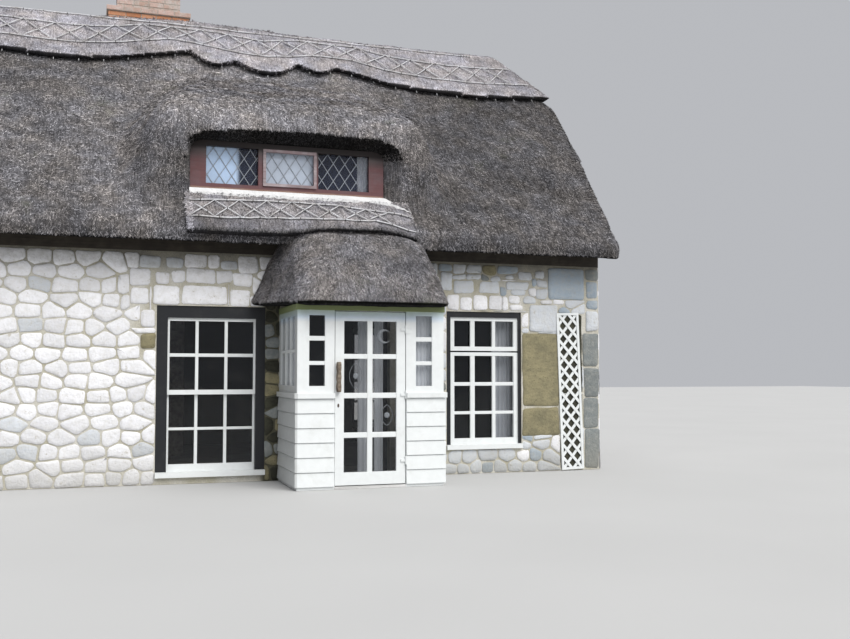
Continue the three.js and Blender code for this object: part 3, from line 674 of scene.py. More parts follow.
def lay_main_thatch():
    """Straw on the front and rear slopes, down to the eaves and over the gable ends."""
    for node, voxel, seed, count in (("front_thatch", 0.050, 3, 180000), ("rear_thatch", 0.075, 4, 90000)):
        coat = Coat(node, "thatch", voxel, 2, 0.014)
        x, up = coat.middles[:, 0], coat.normals[:, 2]
        from_ridge, lift = over_roof(coat.middles)
        outside = (lift > -0.12) | (from_ridge > RIDGE_Y) | (x < WEST) | (x > EAST)
        mouth = in_mouth(coat.middles, coat.normals)
        # Painted shade: very dark straw inside the roof and under the soffit of the dormer's mouth
        coat.paint_shade_on(~outside | mouth & (up < -0.3))
        if node == "front_thatch":
            # Dark mossy straws in the mouth round the dormer: painted shade in the recess, with moss
            coat.lay("dark_straw", 12000, mouth, length=0.06, width=0.012, seed=8, rise=0.012)
        shows = outside & (from_ridge * SLOPE / RUN >= 0.75) & (up >= -0.55) & ~mouth
        coat.lay("straw", count, shows, length=0.068, width=0.0118, seed=seed, stray=0.75)


def row_at(points, x):
    """The height of a broken line at x."""
    return float(np.interp(x, [place for place, _ in points], [height for _, height in points]))


# Hazel rods, pegged down
ROD = 0.0095


def rod_rows(shape, coat, side, row, stretch):
    """A rod along a row, in hazel lengths that overlap, with pegs over it."""
    rng = random.Random(len(shape.points))
    x, end = stretch
    while x < end:
        far = min(x + rng.uniform(0.9, 1.3), end)
        places = [x + (far - x) * i / 8 for i in range(9)]
        spots = [(place, row(place) + rng.uniform(-0.008, 0.008)) for place in places]
        path = coat.landed(side, spots, 1.5 * ROD)
        if len(path) > 2:
            shape.rod(path, ROD)
            for spot in path[1:-1:2]:
                peg(shape, spot, side)
        x = far - 0.05 if far < end else end


def peg(shape, spot, side):
    """A dark peg, bent over a rod down the slope."""
    ahead = Vector((0, side * RUN, -RISE)) / SLOPE
    square = Vector((0, side * RISE, RUN)) / SLOPE
    shape.rod([spot - ahead * 0.016, spot + square * ROD * 0.7, spot + ahead * 0.016], ROD * 0.75, 5, 1)


def rod_diamonds(shape, coat, side, top, bottom, stretch, pitch):
    """Rods that cross between an upper and a lower row."""
    rng = random.Random(len(shape.points) + 1)
    x, end = stretch
    while x + pitch < end:
        for first, last in ((top, bottom), (bottom, top)):
            start = x + rng.uniform(-0.02, 0.02)
            places = [(t, start + pitch * t) for t in (0, 0.25, 0.5, 0.75, 1)]
            path = [(place, (1 - t) * first(place) + t * last(place)) for t, place in places]
            path = coat.landed(side, path, 2.4 * ROD)
            if len(path) > 2:
                shape.rod(path, ROD * 0.85)
                peg(shape, path[len(path) // 2], side)
        x += pitch


def cut_ends(shape, side, edge, lift, places):
    """Pale cut ends of the spars, in the edge of a layer of thatch that is dark with painted shade."""
    ahead = Vector((0, side * RUN, -RISE)) / SLOPE
    for x in places:
        spot = Vector((x, *on_slope(side, edge(x), lift)))
        shape.rod([spot - ahead * 0.03, spot + ahead * 0.02], ROD * 0.8, 5)


# The skirt of the ridge cap: (x, depth down the slope, drop of the scallop that follows)
SKIRT = [
    (-6.06, 1.17, 0), (-5.00, 1.30, 0), (-4.29, 1.23, 0), (-3.67, 1.32, 0), (-3.04, 1.27, 0),
    (-2.24, 0.99, 0), (-1.82, 0.85, 0.22), (-1.19, 0.985, 0.31), (-0.265, 0.92, 0.16), (0.29, 0.93, 0),
    (0.66, 1.05, 0), (1.03, 1.22, 0), (1.60, 1.31, 0), (2.57, 1.34, 0), (3.86, 1.17, 0),
]
CAP_DEPTH = 0.1
TOP_ROW, HIGHEST_ROW, ROW_OVER_EDGE, ROW_GAP = 0.13, 0.24, 0.37, 0.46


def skirt_at(x):
    depth = row_at([(place, depth) for place, depth, _ in SKIRT], x)
    for (start, _, drop), (end, _, _) in zip(SKIRT, SKIRT[1:]):
        if start < x < end:
            depth += drop * math.sin(math.pi * (x - start) / (end - start))
    return depth


def low_cap_row(x):
    """Follows the skirt's edge at a distance, with its scallops eased."""
    return sum(skirt_at(x + step) for step in (-0.3, -0.15, 0, 0.15, 0.3)) / 5 - ROW_OVER_EDGE


def high_cap_row(x):
    return max(low_cap_row(x) - ROW_GAP, HIGHEST_ROW)


def lay_ridge_cap():
    coat = Coat("ridge_cap", "pale_thatch", 0.038, 3, 0.010)
    from_ridge, lift = over_roof(coat.middles)
    normals = np.abs(coat.normals[:, :2])
    square_to_slope = (normals[:, 1] * RISE + coat.normals[:, 2] * RUN) / SLOPE
    edge = (square_to_slope < 0.82) & (lift < CAP_DEPTH) & (from_ridge > 0.3)
    ends = normals[:, 0] > 0.4
    hidden = (lift < 0.02) & ~ends
    coat.paint_shade_on(hidden)
    shows = ~hidden & (~edge | ends)
    coat.lay("pale_straw", 120000, shows, length=0.058, width=0.0105, seed=5, stray=0.5, rise=0.009)
    rods = Shape()
    stretch = (WEST + 0.1, EAST - 0.1)
    for side in (-1, 1):
        rod_rows(rods, coat, side, lambda x: TOP_ROW, (WEST + 0.6, EAST - 0.9))
        rod_rows(rods, coat, side, high_cap_row, stretch)
        rod_rows(rods, coat, side, low_cap_row, stretch)
        rod_diamonds(rods, coat, side, high_cap_row, low_cap_row, stretch, 0.40)
        cut_ends(rods, side, skirt_at, CAP_DEPTH / 2, np.arange(WEST + 0.2, EAST - 0.1, 0.32))
    rods.make("ridge_rods", "hazel", "dark_timber", smooth=True)


# Rows of rods on the apron below the dormer: (x, distance down the slope)
APRON_ROWS = [
    [(-2.05, 4.325), (-1.18, 4.285), (-0.32, 4.285), (0.44, 4.36), (0.75, 4.44)],
    [(-2.03, 4.617), (-1.54, 4.615), (-1.02, 4.592), (-0.63, 4.561), (-0.10, 4.559), (0.28, 4.549),
     (0.68, 4.70)],
]
APRON_STRETCH = (-2.04, 0.72)
LOOSE_END = -1.99


def lay_apron():
    coat = Coat("dormer_apron", "pale_thatch", 0.022, 1, 0.006)
    above = (-coat.normals[:, 1] * RISE + coat.normals[:, 2] * RUN) / SLOPE >= 0.3
    coat.lay("apron_straw", 20000, above, length=0.06, width=0.0105, seed=6, stray=0.5, rise=0.009)
    end = (coat.middles[:, 0] < LOOSE_END) & above
    coat.lay("pale_straw", 900, end, length=0.07, width=0.0095, seed=9, rise=0.015)
    rods = Shape()
    rows = [lambda x, row=row: row_at(row, x) for row in APRON_ROWS]
    for row in rows:
        rod_rows(rods, coat, -1, row, APRON_STRETCH)
    rod_diamonds(rods, coat, -1, *rows, APRON_STRETCH, 0.31)
    rods.make("apron_rods", "hazel", "dark_timber", smooth=True)


def lay_porch_thatch():
    coat = Coat("porch_thatch", "thatch", 0.032, 4, 0.012)
    x, y, z = coat.middles.T
    up = coat.normals[:, 2]
    hidden = (y > -0.02) | (z > PORCH_HIGH.z - 0.01) & (up < -0.2) & (np.abs(x) < 0.9)
    coat.paint_shade_on(hidden)
    shows = ~hidden & (up >= -0.45)
    coat.lay("porch_straw", 60000, shows, length=0.062, width=0.0100, seed=7, stray=0.55, rise=0.013)


# Rubble stone walls. A mix holds the shares of the kinds
STONE_FINISHES = ("white_stone", "buff_stone", "grey_stone", "grey_wash", "dull_white", "mossed_stone")
WHITE_KIND, BUFF_KIND, GREY_KIND, WASH_KIND, DULL_KIND, MOSSY_AND_SHADED_KIND = range(6)
WHITE_MIX, GREY_MIX, PIER_MIX = (95, 0, 0, 0, 5, 0), (14, 5, 4, 12, 65, 0), (0, 22, 28, 0, 0, 50)
JOINT = 0.019
CORNER = 0.022
LARGE_CELL = (0.34, 0.20)
FOOT, UNDER_THATCH, THATCH_DEPTH = 0.01, 0.05, 0.35
PROUD, FLUSH = 0.014, 0.004


def clipped(outline, across, up, limit):
    """The part of a convex outline where across * u + up * v is no more than a limit."""
    kept = []
    for i, (u, v) in enumerate(outline):
        next_u, next_v = outline[(i + 1) % len(outline)]
        here = across * u + up * v - limit
        there = across * next_u + up * next_v - limit
        if here <= 0:
            kept.append((u, v))
        if here * there < 0:
            t = here / (here - there)
            kept.append((u + t * (next_u - u), v + t * (next_v - v)))
    return kept


def side_facing(block, u, v, gap):
    """The edge of a block that faces a seed, as a limit for the seed's stone."""
    u0, u1, v0, v1 = block
    ways = {(1, 0, u0 - gap): u0 - u, (-1, 0, -u1 - gap): u - u1}
    ways |= {(0, 1, v0 - gap): v0 - v, (0, -1, -v1 - gap): v - v1}
    return max(ways, key=ways.get)


def cell_of(seed, seeds, edges, blocks, flatness):
    """The outline of the stone round a seed, kept half a joint from its neighbours' stones."""
    u, v = seed
    outline = [(u - 1, v - 1), (u + 1, v - 1), (u + 1, v + 1), (u - 1, v + 1)]
    for other_u, other_v in seeds:
        across, up = other_u - u, (other_v - v) * flatness
        reach = math.hypot(across, up)
        if 0 < reach < 1.4:
            limit = across * (u + other_u) / 2 + up * (v + other_v) / 2 - JOINT / 2 * reach
            outline = clipped(outline, across, up, limit)
    for across, up, limit in edges:
        outline = clipped(outline, across, up, limit)
    for block in blocks:
        if block[0] - 1 < u < block[1] + 1 and block[2] - 1 < v < block[3] + 1:
            outline = clipped(outline, *side_facing(block, u, v, JOINT / 2))
    return outline


def roughened(outline, rng):
    """An outline with its corners cut back a little, and its sides broken into uneven lengths."""
    points = []
    for i, (u, v) in enumerate(outline):
        next_u, next_v = outline[(i + 1) % len(outline)]
        side = math.hypot(next_u - u, next_v - v)
        corner = min(CORNER / max(side, 1e-6), 0.3)
        count = max(1, round(side * (1 - 2 * corner) / 0.09))
        for k in range(count + 1):
            t = corner + (1 - 2 * corner) * k / count
            across = u + t * (next_u - u) + rng.uniform(-0.005, 0.005)
            points.append((across, v + t * (next_v - v) + rng.uniform(-0.005, 0.005)))
    return points


def add_stone(shape, outline, put, rng, kind, proud=0.012):
    """One stone: cut corners, a rough face, and its back in the mortar."""
    middle = np.mean(outline, axis=0)
    if len(outline) < 3 or max(abs(u - middle[0]) + abs(v - middle[1]) for u, v in outline) < 0.05:
        return
    outline = roughened(outline, rng)
    proud = proud * rng.uniform(0.6, 1.2)
    drift = rng.uniform(0, 50)
    rings = []
    for inset, out in ((0.0, -0.012), (0.0, 0.45 * proud), (0.008, 0.9 * proud), (0.06, proud)):
        ring = []
        for u, v in outline:
            away = math.hypot(u - middle[0], v - middle[1])
            keep = max(0.25, 1 - inset / max(away, 1e-6))
            spot = (middle[0] + (u - middle[0]) * keep, middle[1] + (v - middle[1]) * keep)
            rough = 0.45 * proud * noise.noise(Vector((spot[0] * 9, spot[1] * 9, drift))) if out > 0 else 0
            ring.append(put(*spot, out + rough))
        rings.append(ring)
    shape.skin(rings, kind)


def scattered(limits, cell, rng, blocks):
    """Seeds for stones, in loose courses, kept out of the openings and the set blocks."""
    u0, u1, v0, v1 = limits
    wide, high = cell
    seeds = []
    rows = round((v1 - v0) / high)
    for row in range(rows):
        v = v0 + (row + 0.5) * (v1 - v0) / rows
        u = u0 - rng.uniform(0, 0.5) * wide
        while u < u1:
            u += wide * rng.uniform(0.65, 1.35)
            seed = (u, v + high * rng.uniform(-0.15, 0.15))
            if u < u1 and not any(b[0] < seed[0] < b[1] and b[2] < seed[1] < b[3] for b in blocks):
                seeds.append(seed)
    return seeds


def lay_rubble(shape, limits, wall, cell, seed, kinds, blocks=(), slants=()):
    """Rubble over a rectangle of wall, round its openings and under any slanting edges."""
    rng = random.Random(seed)
    u0, u1, v0, v1 = limits
    edges = [(-1, 0, -u0), (1, 0, u1), (0, -1, -v0), (0, 1, v1), *slants]
    seeds = scattered(limits, cell, rng, blocks)
    seeds = [s for s in seeds if all(across * s[0] + up * s[1] < limit for across, up, limit in edges)]
    for spot in seeds:
        kind = rng.choices(range(len(kinds)), kinds)[0]
        outline = cell_of(spot, seeds, edges, blocks, cell[0] / cell[1])
        if len(outline) > 2:
            add_stone(shape, outline, ON_WALL[wall], rng, kind)


# Where a point lies on each wall, from its place across and up the wall and how far out it is
ON_WALL = {
    "front": lambda u, v, out: (u, -out, v),
    "rear": lambda u, v, out: (u, REAR + out, v),
    "left": lambda u, v, out: (WEST - out, u, v),
    "right": lambda u, v, out: (EAST + out, u, v),
}

# Stones that stand out on the front wall, by finish: (left, right, bottom, top)
LEFT_STONES = {
    WHITE_KIND: [
        (-2.05, -1.52, 2.14, 2.37), (-1.49, -1.25, 2.14, 2.34), (-2.40, -2.08, 2.14, 2.36),
        (-2.00, -1.66, 2.40, 2.58), (-1.45, -1.22, 2.37, 2.53), (-2.18, -2.04, 2.40, 2.54),
        (-2.37, -2.21, 2.39, 2.52), (-2.66, -2.42, 2.36, 2.55), (-2.65, -2.44, 2.14, 2.33),
        (-2.53, -2.36, 1.86, 2.06),
    ],
    DULL_KIND: [(-2.55, -2.30, 2.58, 2.71), (-2.23, -2.04, 2.58, 2.70), (-1.61, -1.40, 2.57, 2.69)],
    BUFF_KIND: [(-2.53, -2.36, 1.60, 1.78)],
}
RIGHT_STONES = {
    WHITE_KIND: [
        (1.33, 1.50, 2.15, 2.34), (1.52, 1.67, 2.15, 2.32), (1.69, 1.90, 2.15, 2.34),
        (1.92, 2.10, 2.15, 2.34), (2.12, 2.19, 2.15, 2.34), (2.21, 2.37, 2.25, 2.35),
        (2.22, 2.41, 2.15, 2.235),
    ],
    DULL_KIND: [
        (1.43, 1.71, 2.37, 2.54), (1.23, 1.39, 2.41, 2.64), (1.79, 2.07, 2.38, 2.53),
        (1.60, 1.80, 2.56, 2.63), (2.18, 2.49, 2.44, 2.54), (2.35, 2.54, 2.57, 2.67),
        (2.16, 2.29, 2.57, 2.63), (2.59, 2.74, 2.60, 2.69), (2.62, 2.76, 2.48, 2.57),
        (2.61, 2.77, 2.31, 2.45), (2.50, 2.93, 1.87, 2.24), (3.35, 3.54, 1.89, 2.16),
    ],
    WASH_KIND: [(2.80, 3.33, 2.32, 2.74), (3.36, 3.54, 2.35, 2.57), (3.36, 3.54, 2.19, 2.32)],
    BUFF_KIND: [(2.40, 2.94, 0.87, 1.84), (2.40, 2.94, 0.49, 0.85)],
    GREY_KIND: [
        (3.36, 3.54, 2.60, 2.74), (3.30, 3.54, 1.41, 1.86), (3.32, 3.54, 1.00, 1.39),
        (3.32, 3.54, 0.57, 0.98), (3.32, 3.54, 0.02, 0.55),
    ],
    # Very dark stones behind the trellis: painted shade
    MOSSY_AND_SHADED_KIND: [(2.96, 3.28, 0.03, 1.02), (2.96, 3.28, 1.04, 2.12)],
}


def node_block(node, sill=None):
    """A node's place on a wall, down to the underside of its sill if it has one."""
    low, high = node_box(node)
    return (low.x, high.x, node_box(sill or node)[0].z, high.z)


def set_stones(shape, stones, rng):
    """Lays the stones that are listed one by one, as blocks that are a little out of true."""
    for kind, blocks in stones.items():
        for left, right, bottom, top in blocks:
            corners = [(left, bottom), (right, bottom), (right, top), (left, top)]
            corners = [(u + rng.uniform(-0.014, 0.014), v + rng.uniform(-0.012, 0.012)) for u, v in corners]
            add_stone(shape, corners, ON_WALL["front"], rng, kind, FLUSH if kind == MOSSY_AND_SHADED_KIND else PROUD)
    return [block for blocks in stones.values() for block in blocks]


def lay_front_stones():
    shape = Shape()
    rng = random.Random(14)
    low, high = PORCH_LOW.x, PORCH_HIGH.x
    pier = (node_box("left_window_surround")[1].x, low, FOOT, 2.36)
    window = node_block("left_window_surround", "left_window_sill")
    blocks = [window, pier, *set_stones(shape, LEFT_STONES, rng)]
    lay_rubble(shape, (WEST, low, FOOT, STONE_TOP), "front", (0.27, 0.16), 11, WHITE_MIX, blocks)
    lay_rubble(shape, pier, "front", (0.12, 0.15), 15, PIER_MIX)
    lay_rubble(shape, (low, high, PORCH_HIGH.z + 0.1, STONE_TOP), "front", (0.34, 0.21), 12, WHITE_MIX)
    window = node_block("right_window_surround", "right_window_sill")
    blocks = [window, *set_stones(shape, RIGHT_STONES, rng)]
    lay_rubble(shape, (high, EAST, FOOT, STONE_TOP), "front", (0.22, 0.14), 13, GREY_MIX, blocks)
    shape.make("front_stones", *STONE_FINISHES, smooth=True)


def lay_rear_stones():
    shape = Shape()
    windows = [node_block(f"rear_window_{i}") for i in (1, 2)]
    lay_rubble(shape, (WEST, EAST, FOOT, STONE_TOP), "rear", LARGE_CELL, 21, WHITE_MIX, windows)
    shape.make("rear_stones", *STONE_FINISHES, smooth=True)


def lay_gable_stones():
    """Rubble on both gables, up to the underside of the thatch."""
    top = node_box("left_gable")[1].z - UNDER_THATCH
    steep = RISE / RUN
    peak = RIDGE_Z - THATCH_DEPTH * SLOPE / RUN - UNDER_THATCH
    slants = [(side * steep, 1, peak + side * steep * RIDGE_Y) for side in (-1, 1)]
    for wall, seed in (("left", 31), ("right", 32)):
        shape = Shape()
        lay_rubble(shape, (0, REAR, FOOT, top), wall, LARGE_CELL, seed, WHITE_MIX, slants=slants)
        shape.make(f"{wall}_gable_stones", *STONE_FINISHES, smooth=True)


# Brick courses of the chimney
BRICK_LONG, BRICK_HIGH, BRICK_DEEP, BRICK_JOINT, BRICK_PROUD = 0.215, 0.065, 0.03, 0.010, 0.005
COURSE = BRICK_HIGH + BRICK_JOINT
LEDGE, DRIP_OUT, SET_BACK = 6.625, 0.025, 0.12
BASE_COURSES = 16


def lay_course(shape, low, high, z, turn, rng):
    """One course of bricks round a shaft, lapped by half a brick at every other course."""
    for axis in (0, 1):
        start, end, faces = low[axis], high[axis], (low[1 - axis], high[1 - axis])
        first = start - BRICK_PROUD if turn == axis else start + BRICK_DEEP
        last = end + BRICK_PROUD if turn == axis else end - BRICK_DEEP
        count = max(1, round((last - first) / (BRICK_LONG + BRICK_JOINT)))
        pitch = (last - first + BRICK_JOINT) / count
        for a in (first + i * pitch for i in range(count)):
            b = a + pitch - BRICK_JOINT
            for face, out in zip(faces, (-1, 1)):
                proud = out * BRICK_PROUD * rng.uniform(0.5, 1.3)
                near, far = sorted((face - out * BRICK_DEEP, face + proud))
                corners = ((a, near), (b, far)) if axis == 0 else ((near, a), (far, b))
                shape.block((*corners[0], z), (*corners[1], z + BRICK_HIGH))


def lay_bricks():
    """Bricks of the base, the drip course, the shaft and the cap's two steps."""
    rng = random.Random(41)
    shape = Shape()
    stack = node_box("chimney_stack")
    cap = node_box("chimney_cap")
    step = cap[0].z + COURSE
    parts = (
        (stack, DRIP_OUT, LEDGE - BASE_COURSES * COURSE, LEDGE), (stack, 0.0, LEDGE, LEDGE + COURSE),
        (stack, DRIP_OUT + SET_BACK, LEDGE + COURSE, stack[1].z), (cap, 0.0, cap[0].z, step),
        (cap, DRIP_OUT, step, cap[1].z),
    )
    for (low, high), inset, z, top in parts:
        turn = 0
        corners = (low.x + inset, low.y + inset), (high.x - inset, high.y - inset)
        while z + BRICK_HIGH <= top + 0.001:
            lay_course(shape, *corners, z, turn, rng)
            z, turn = z + COURSE, 1 - turn
    shape.make("chimney_bricks", "brick", edge=0.004)


# Glazing bars: uprights are (left, right), levels are (bottom, top)
LEFT_UPRIGHTS = [(-1.888, -1.850), (-1.540, -1.502)]
RIGHT_UPRIGHTS = [(1.668, 1.733), (1.979, 2.029)]
CASEMENT_LEVELS = [(1.148, 1.196), (0.774, 0.814)]
PORCH_LEVELS = [(1.687, 1.740), (1.410, 1.455)]
DOOR_UPRIGHTS = [(-0.056, 0.008)]
DOOR_LEVELS = [(1.481, 1.538), (1.029, 1.091), (0.577, 0.639)]
SASH_BAR, CASEMENT_BAR, PORCH_BAR, BAR_STEP = 0.026, 0.034, 0.040, 0.003

# Lights behind the bars: (left, right) across, and (bottom, top) up
LEFT_LIGHT, UPPER_SASH, LOWER_SASH = (-2.19, -1.19), (1.11, 1.95), (0.22, 1.06)
RIGHT_LIGHT, TOP_LIGHT, CASEMENT = (1.43, 2.30), (1.66, 2.01), (0.45, 1.55)
PORCH_LIGHTS = [(-0.748, -0.545), (0.523, 0.742)]
DOOR_LIGHT, DOOR_PANES = (-0.335, 0.300), (0.18, 1.925)
REAR_SHIFT = -4.7

# How far back the faces of the bars lie, and the lights in the porch's sides: (front, back) along them
UPPER_BACK, LOWER_BACK, CASEMENT_BACK, REAR_BACK, PORCH_BACK = 0.048, 0.084, 0.044, 0.084, 0.004
SIDE_LIGHT, SIDE_PANES, SIDE_LEVEL = (-0.99, -0.07), (1.165, 1.985), (1.555, 1.59)
SIDE_UPRIGHTS = [(-0.6975, -0.6625), (-0.3975, -0.3625)]
KEYHOLE = (-0.397, 0.949)


def cross_bars(shape, uprights, levels, x_span, z_span, y, depth):
    """Glazing bars over a light, the level ones a little shallower."""
    for x0, x1 in uprights:
        shape.block((x0, y, z_span[0]), (x1, y + depth, z_span[1]))
    for z0, z1 in levels:
        shape.block((x_span[0], y + BAR_STEP, z0), (x_span[1], y + depth - BAR_STEP, z1))


def glaze_ground_windows():
    left = Shape()
    cross_bars(left, LEFT_UPRIGHTS, [(1.513, 1.554)], LEFT_LIGHT, UPPER_SASH, UPPER_BACK, SASH_BAR)
    cross_bars(left, LEFT_UPRIGHTS, [(0.632, 0.665)], LEFT_LIGHT, LOWER_SASH, LOWER_BACK, SASH_BAR)
    left.make("left_window_bars", "white_paint", edge=0.004)
    rear = REAR - REAR_BACK
    windows = [("right_window", 0, CASEMENT_BACK)]
    windows += [("rear_window_1", REAR_SHIFT, rear), ("rear_window_2", 0, rear)]
    for name, shift, y in windows:
        bars = Shape()
        *uprights, span = [(x0 + shift, x1 + shift) for x0, x1 in (*RIGHT_UPRIGHTS, RIGHT_LIGHT)]
        cross_bars(bars, uprights, [], span, TOP_LIGHT, y, CASEMENT_BAR)
        cross_bars(bars, uprights, CASEMENT_LEVELS, span, CASEMENT, y, CASEMENT_BAR)
        bars.make(f"{name}_bars", "white_paint", edge=0.004)


# The porch's boards
PORCH_SILL, LEDGE_TOP, HEAD_BOARD = 1.03, 1.092, 2.035
BOARD_PITCH, BOARD_SEAM, BOARD_THICK = 0.166, 0.008, 0.022
LEDGE_DEEP, LEDGE_LAP = 0.038, 0.012
PORCH_DOOR_RIGHT = 0.415
WALL_END = -0.02


def weatherboards(shape, start, end, out):
    """Lapped boards between two ground points, thicker at their lower edges."""
    out = Vector(out)
    z = PORCH_SILL - BOARD_PITCH
    while z > -0.1:
        bottom, top = max(z, FOOT), z + BOARD_PITCH - BOARD_SEAM
        profile = [(-0.002, bottom), (BOARD_THICK, bottom), (0.010, top), (-0.002, top)]
        rings = []
        for x, y in (start, end):
            rings.append([Vector((x, y, height)) + out * reach for reach, height in profile])
        shape.skin(rings)
        z -= BOARD_PITCH


def board_porch():
    """Weatherboards under a ledge, and a mossy board in painted shade under the thatch, on the front and
    both sides.
    """
    half, face = PORCH_HIGH.x, PORCH_LOW.y
    left_end = node_box("porch_front_left")[1].x
    shape = Shape()
    for x0, x1 in ((-half - BOARD_THICK, left_end), (PORCH_DOOR_RIGHT, half + BOARD_THICK)):
        weatherboards(shape, (x0, face), (x1, face), (0, -1, 0))
        ledge = (x0 - LEDGE_LAP * (x0 < 0), x1 + LEDGE_LAP * (x1 > 0))
        shape.block((ledge[0], face - LEDGE_DEEP, PORCH_SILL), (ledge[1], face, LEDGE_TOP))
    head = Shape()
    head.block((-half - 0.012, face - 0.014, HEAD_BOARD), (half + 0.012, face, PORCH_HIGH.z))
    for x, out in ((-half, -1), (half, 1)):
        weatherboards(shape, (x, face), (x, WALL_END), (out, 0, 0))
        strips = ((shape, 0.034, PORCH_SILL, LEDGE_TOP), (head, 0.012, HEAD_BOARD, PORCH_HIGH.z))
        for board, reach, bottom, top in strips:
            near, far = sorted((x, x + out * reach))
            board.block((near, face, bottom), (far, WALL_END, top))
    shape.make("porch_boards", "porch_paint", edge=0.003)
    head.make("porch_head_board", "mossed_paint", edge=0.004)


def glaze_porch():
    """Bars of the two front lights, then two uprights and a level bar in each side."""
    shape = Shape()
    for x_span in PORCH_LIGHTS:
        cross_bars(shape, [], PORCH_LEVELS, x_span, None, PORCH_LOW.y + PORCH_BACK, PORCH_BAR)
    for x in (PORCH_LOW.x + PORCH_BACK, PORCH_HIGH.x - PORCH_BACK - PORCH_BAR):
        for y0, y1 in SIDE_UPRIGHTS:
            shape.block((x, y0, SIDE_PANES[0]), (x + PORCH_BAR, y1, SIDE_PANES[1]))
        (y0, y1), (z0, z1) = SIDE_LIGHT, SIDE_LEVEL
        shape.block((x + BAR_STEP, y0, z0), (x + PORCH_BAR - BAR_STEP, y1, z1))
    shape.make("porch_light_bars", "porch_paint", edge=0.004)


def glaze_door():
    """The door's glazing bars and the plate round its keyhole."""
    shape = Shape()
    face = node_box("porch_door_handle")[1].y
    cross_bars(shape, DOOR_UPRIGHTS, DOOR_LEVELS, DOOR_LIGHT, DOOR_PANES, face + 0.002, PORCH_BAR)
    shape.make("porch_door_bars", "white_paint", body="door", edge=0.005)
    plate = Shape()
    x, z = KEYHOLE
    plate.skin([[(x + 0.5 * size * across, face - out, z + size * up) for across, up in circle(14)]
                for size, out in ((0.022, 0.0), (0.022, 0.003), (0.016, 0.005))])
    plate.make("porch_door_keyhole", "iron", body="door")


def carve_handle():
    """The carved face of the pull handle, wider than the core behind it."""
    low, high = node_box("porch_door_handle")
    middle, back, count = (low.x + high.x) / 2, high.y - 0.012, 48
    rings = []
    for t in (i / count for i in range(count + 1)):
        half = 0.021 + 0.007 * abs(math.sin(3 * math.pi * t))
        front = low.y - 0.002 - 0.005 * abs(math.sin(7 * math.pi * t))
        corners = ((-half, back), (half, back), (0.7 * half, front), (-0.7 * half, front))
        rings.append([(middle + across, y, low.z + t * (high.z - low.z)) for across, y in corners])
    shape = Shape()
    shape.skin(rings)
    shape.make("porch_door_handle_carving", "handle_wood", body="door")


# Lights of the dormer: (left, right), (bottom, top) and one crossing of the leads
DORMER_LIGHTS = [
    ((-1.796, -1.162), (3.625, 4.085), (-1.629, 3.961)),
    ((-1.070, -0.468), (3.660, 4.050), (-0.836, 4.003)),
    ((-0.409, 0.251), (3.625, 4.085), (-0.278, 3.864)),
]
LEAD_WIDE, LEAD_HIGH, CAME, CAME_DEEP = 0.150, 0.224, 0.009, 0.006


def held_to(first, last, low, high):
    """The part of a straight line whose Z lies between two limits, or None."""
    t0, t1 = 0.0, 1.0
    for limit, sense in ((low, 1), (high, -1)):
        here, there = sense * (first.z - limit), sense * (last.z - limit)
        if here < 0 and there < 0:
            return None
        if here < 0:
            t0 = max(t0, here / (here - there))
        elif there < 0:
            t1 = min(t1, here / (here - there))
    return None if t1 - t0 < 0.02 else (first.lerp(last, t0), first.lerp(last, t1))


def lead_dormer():
    """Leads that cross in diamonds over the dormer's three lights."""
    shape = Shape()
    out = Vector((0, CAME_DEEP / 2, 0))
    for (left, right), (low, high), (x, z) in DORMER_LIGHTS:
        for lean in (-1, 1):
            slope = lean * LEAD_HIGH / LEAD_WIDE
            y = node_box("dormer_glass")[0].y - 0.004 - 0.001 * lean
            for i in range(-12, 13):
                ends = [Vector((u, y, z + slope * (u - x - LEAD_WIDE * i))) for u in (left, right)]
                kept = held_to(*ends, low, high)
                if kept:
                    side = (kept[1] - kept[0]).cross(Vector((0, 1, 0))).normalized() * CAME / 2
                    corners = (side + out, out - side, -side - out, side - out)
                    shape.skin([[point + corner for corner in corners] for point in kept])
    shape.make("dormer_leads", "lead")


# The ragged lower edge of the lime fillet under the dormer, and its upper edge: (x, height)
FILLET_EDGE = [
    (-2.006, 3.419), (-1.81, 3.436), (-1.709, 3.417), (-1.556, 3.426), (-1.523, 3.409), (-1.336, 3.438),
    (-1.148, 3.422), (-0.998, 3.448), (-0.867, 3.438), (-0.69, 3.427), (-0.535, 3.448), (-0.326, 3.438),
    (-0.114, 3.450), (0.101, 3.431), (0.362, 3.435), (0.484, 3.409), (0.64, 3.372), (0.735, 3.335),
]
FILLET_TOP = [(-2.006, 3.556), (0.42, 3.556), (0.536, 3.50), (0.64, 3.425), (0.735, 3.35)]


def lime_sill():
    """The white lime fillet under the dormer frame, lapped over the apron and run out to a point."""
    low, high = node_box("dormer_sill")
    rng = random.Random(51)
    rings = []
    count = 90
    start, end = FILLET_EDGE[0][0], FILLET_EDGE[-1][0]
    for i in range(count + 1):
        x = start + (end - start) * i / count
        top = row_at(FILLET_TOP, x)
        bottom = row_at(FILLET_EDGE, x) + rng.uniform(-0.012, 0.008)
        back = high.y - 0.03 if x < high.x else -0.10
        front = low.y - 0.012 + 0.006 * math.sin(9 * x) + rng.uniform(-0.005, 0.005) - 0.25 * max(0, x - 0.5)
        upper, lower = (front + 0.07, top - 0.022), (front - 0.008, 0.65 * bottom + 0.35 * top)
        profile = [(-0.055, top), upper, lower, (front - 0.012, bottom), (back, bottom), (back, top)]
        rings.append([(x, y, z) for y, z in profile])
    shape = Shape()
    shape.skin(rings)
    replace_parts(shape.make("dormer_lime_fillet", "lime"), "dormer_sill")


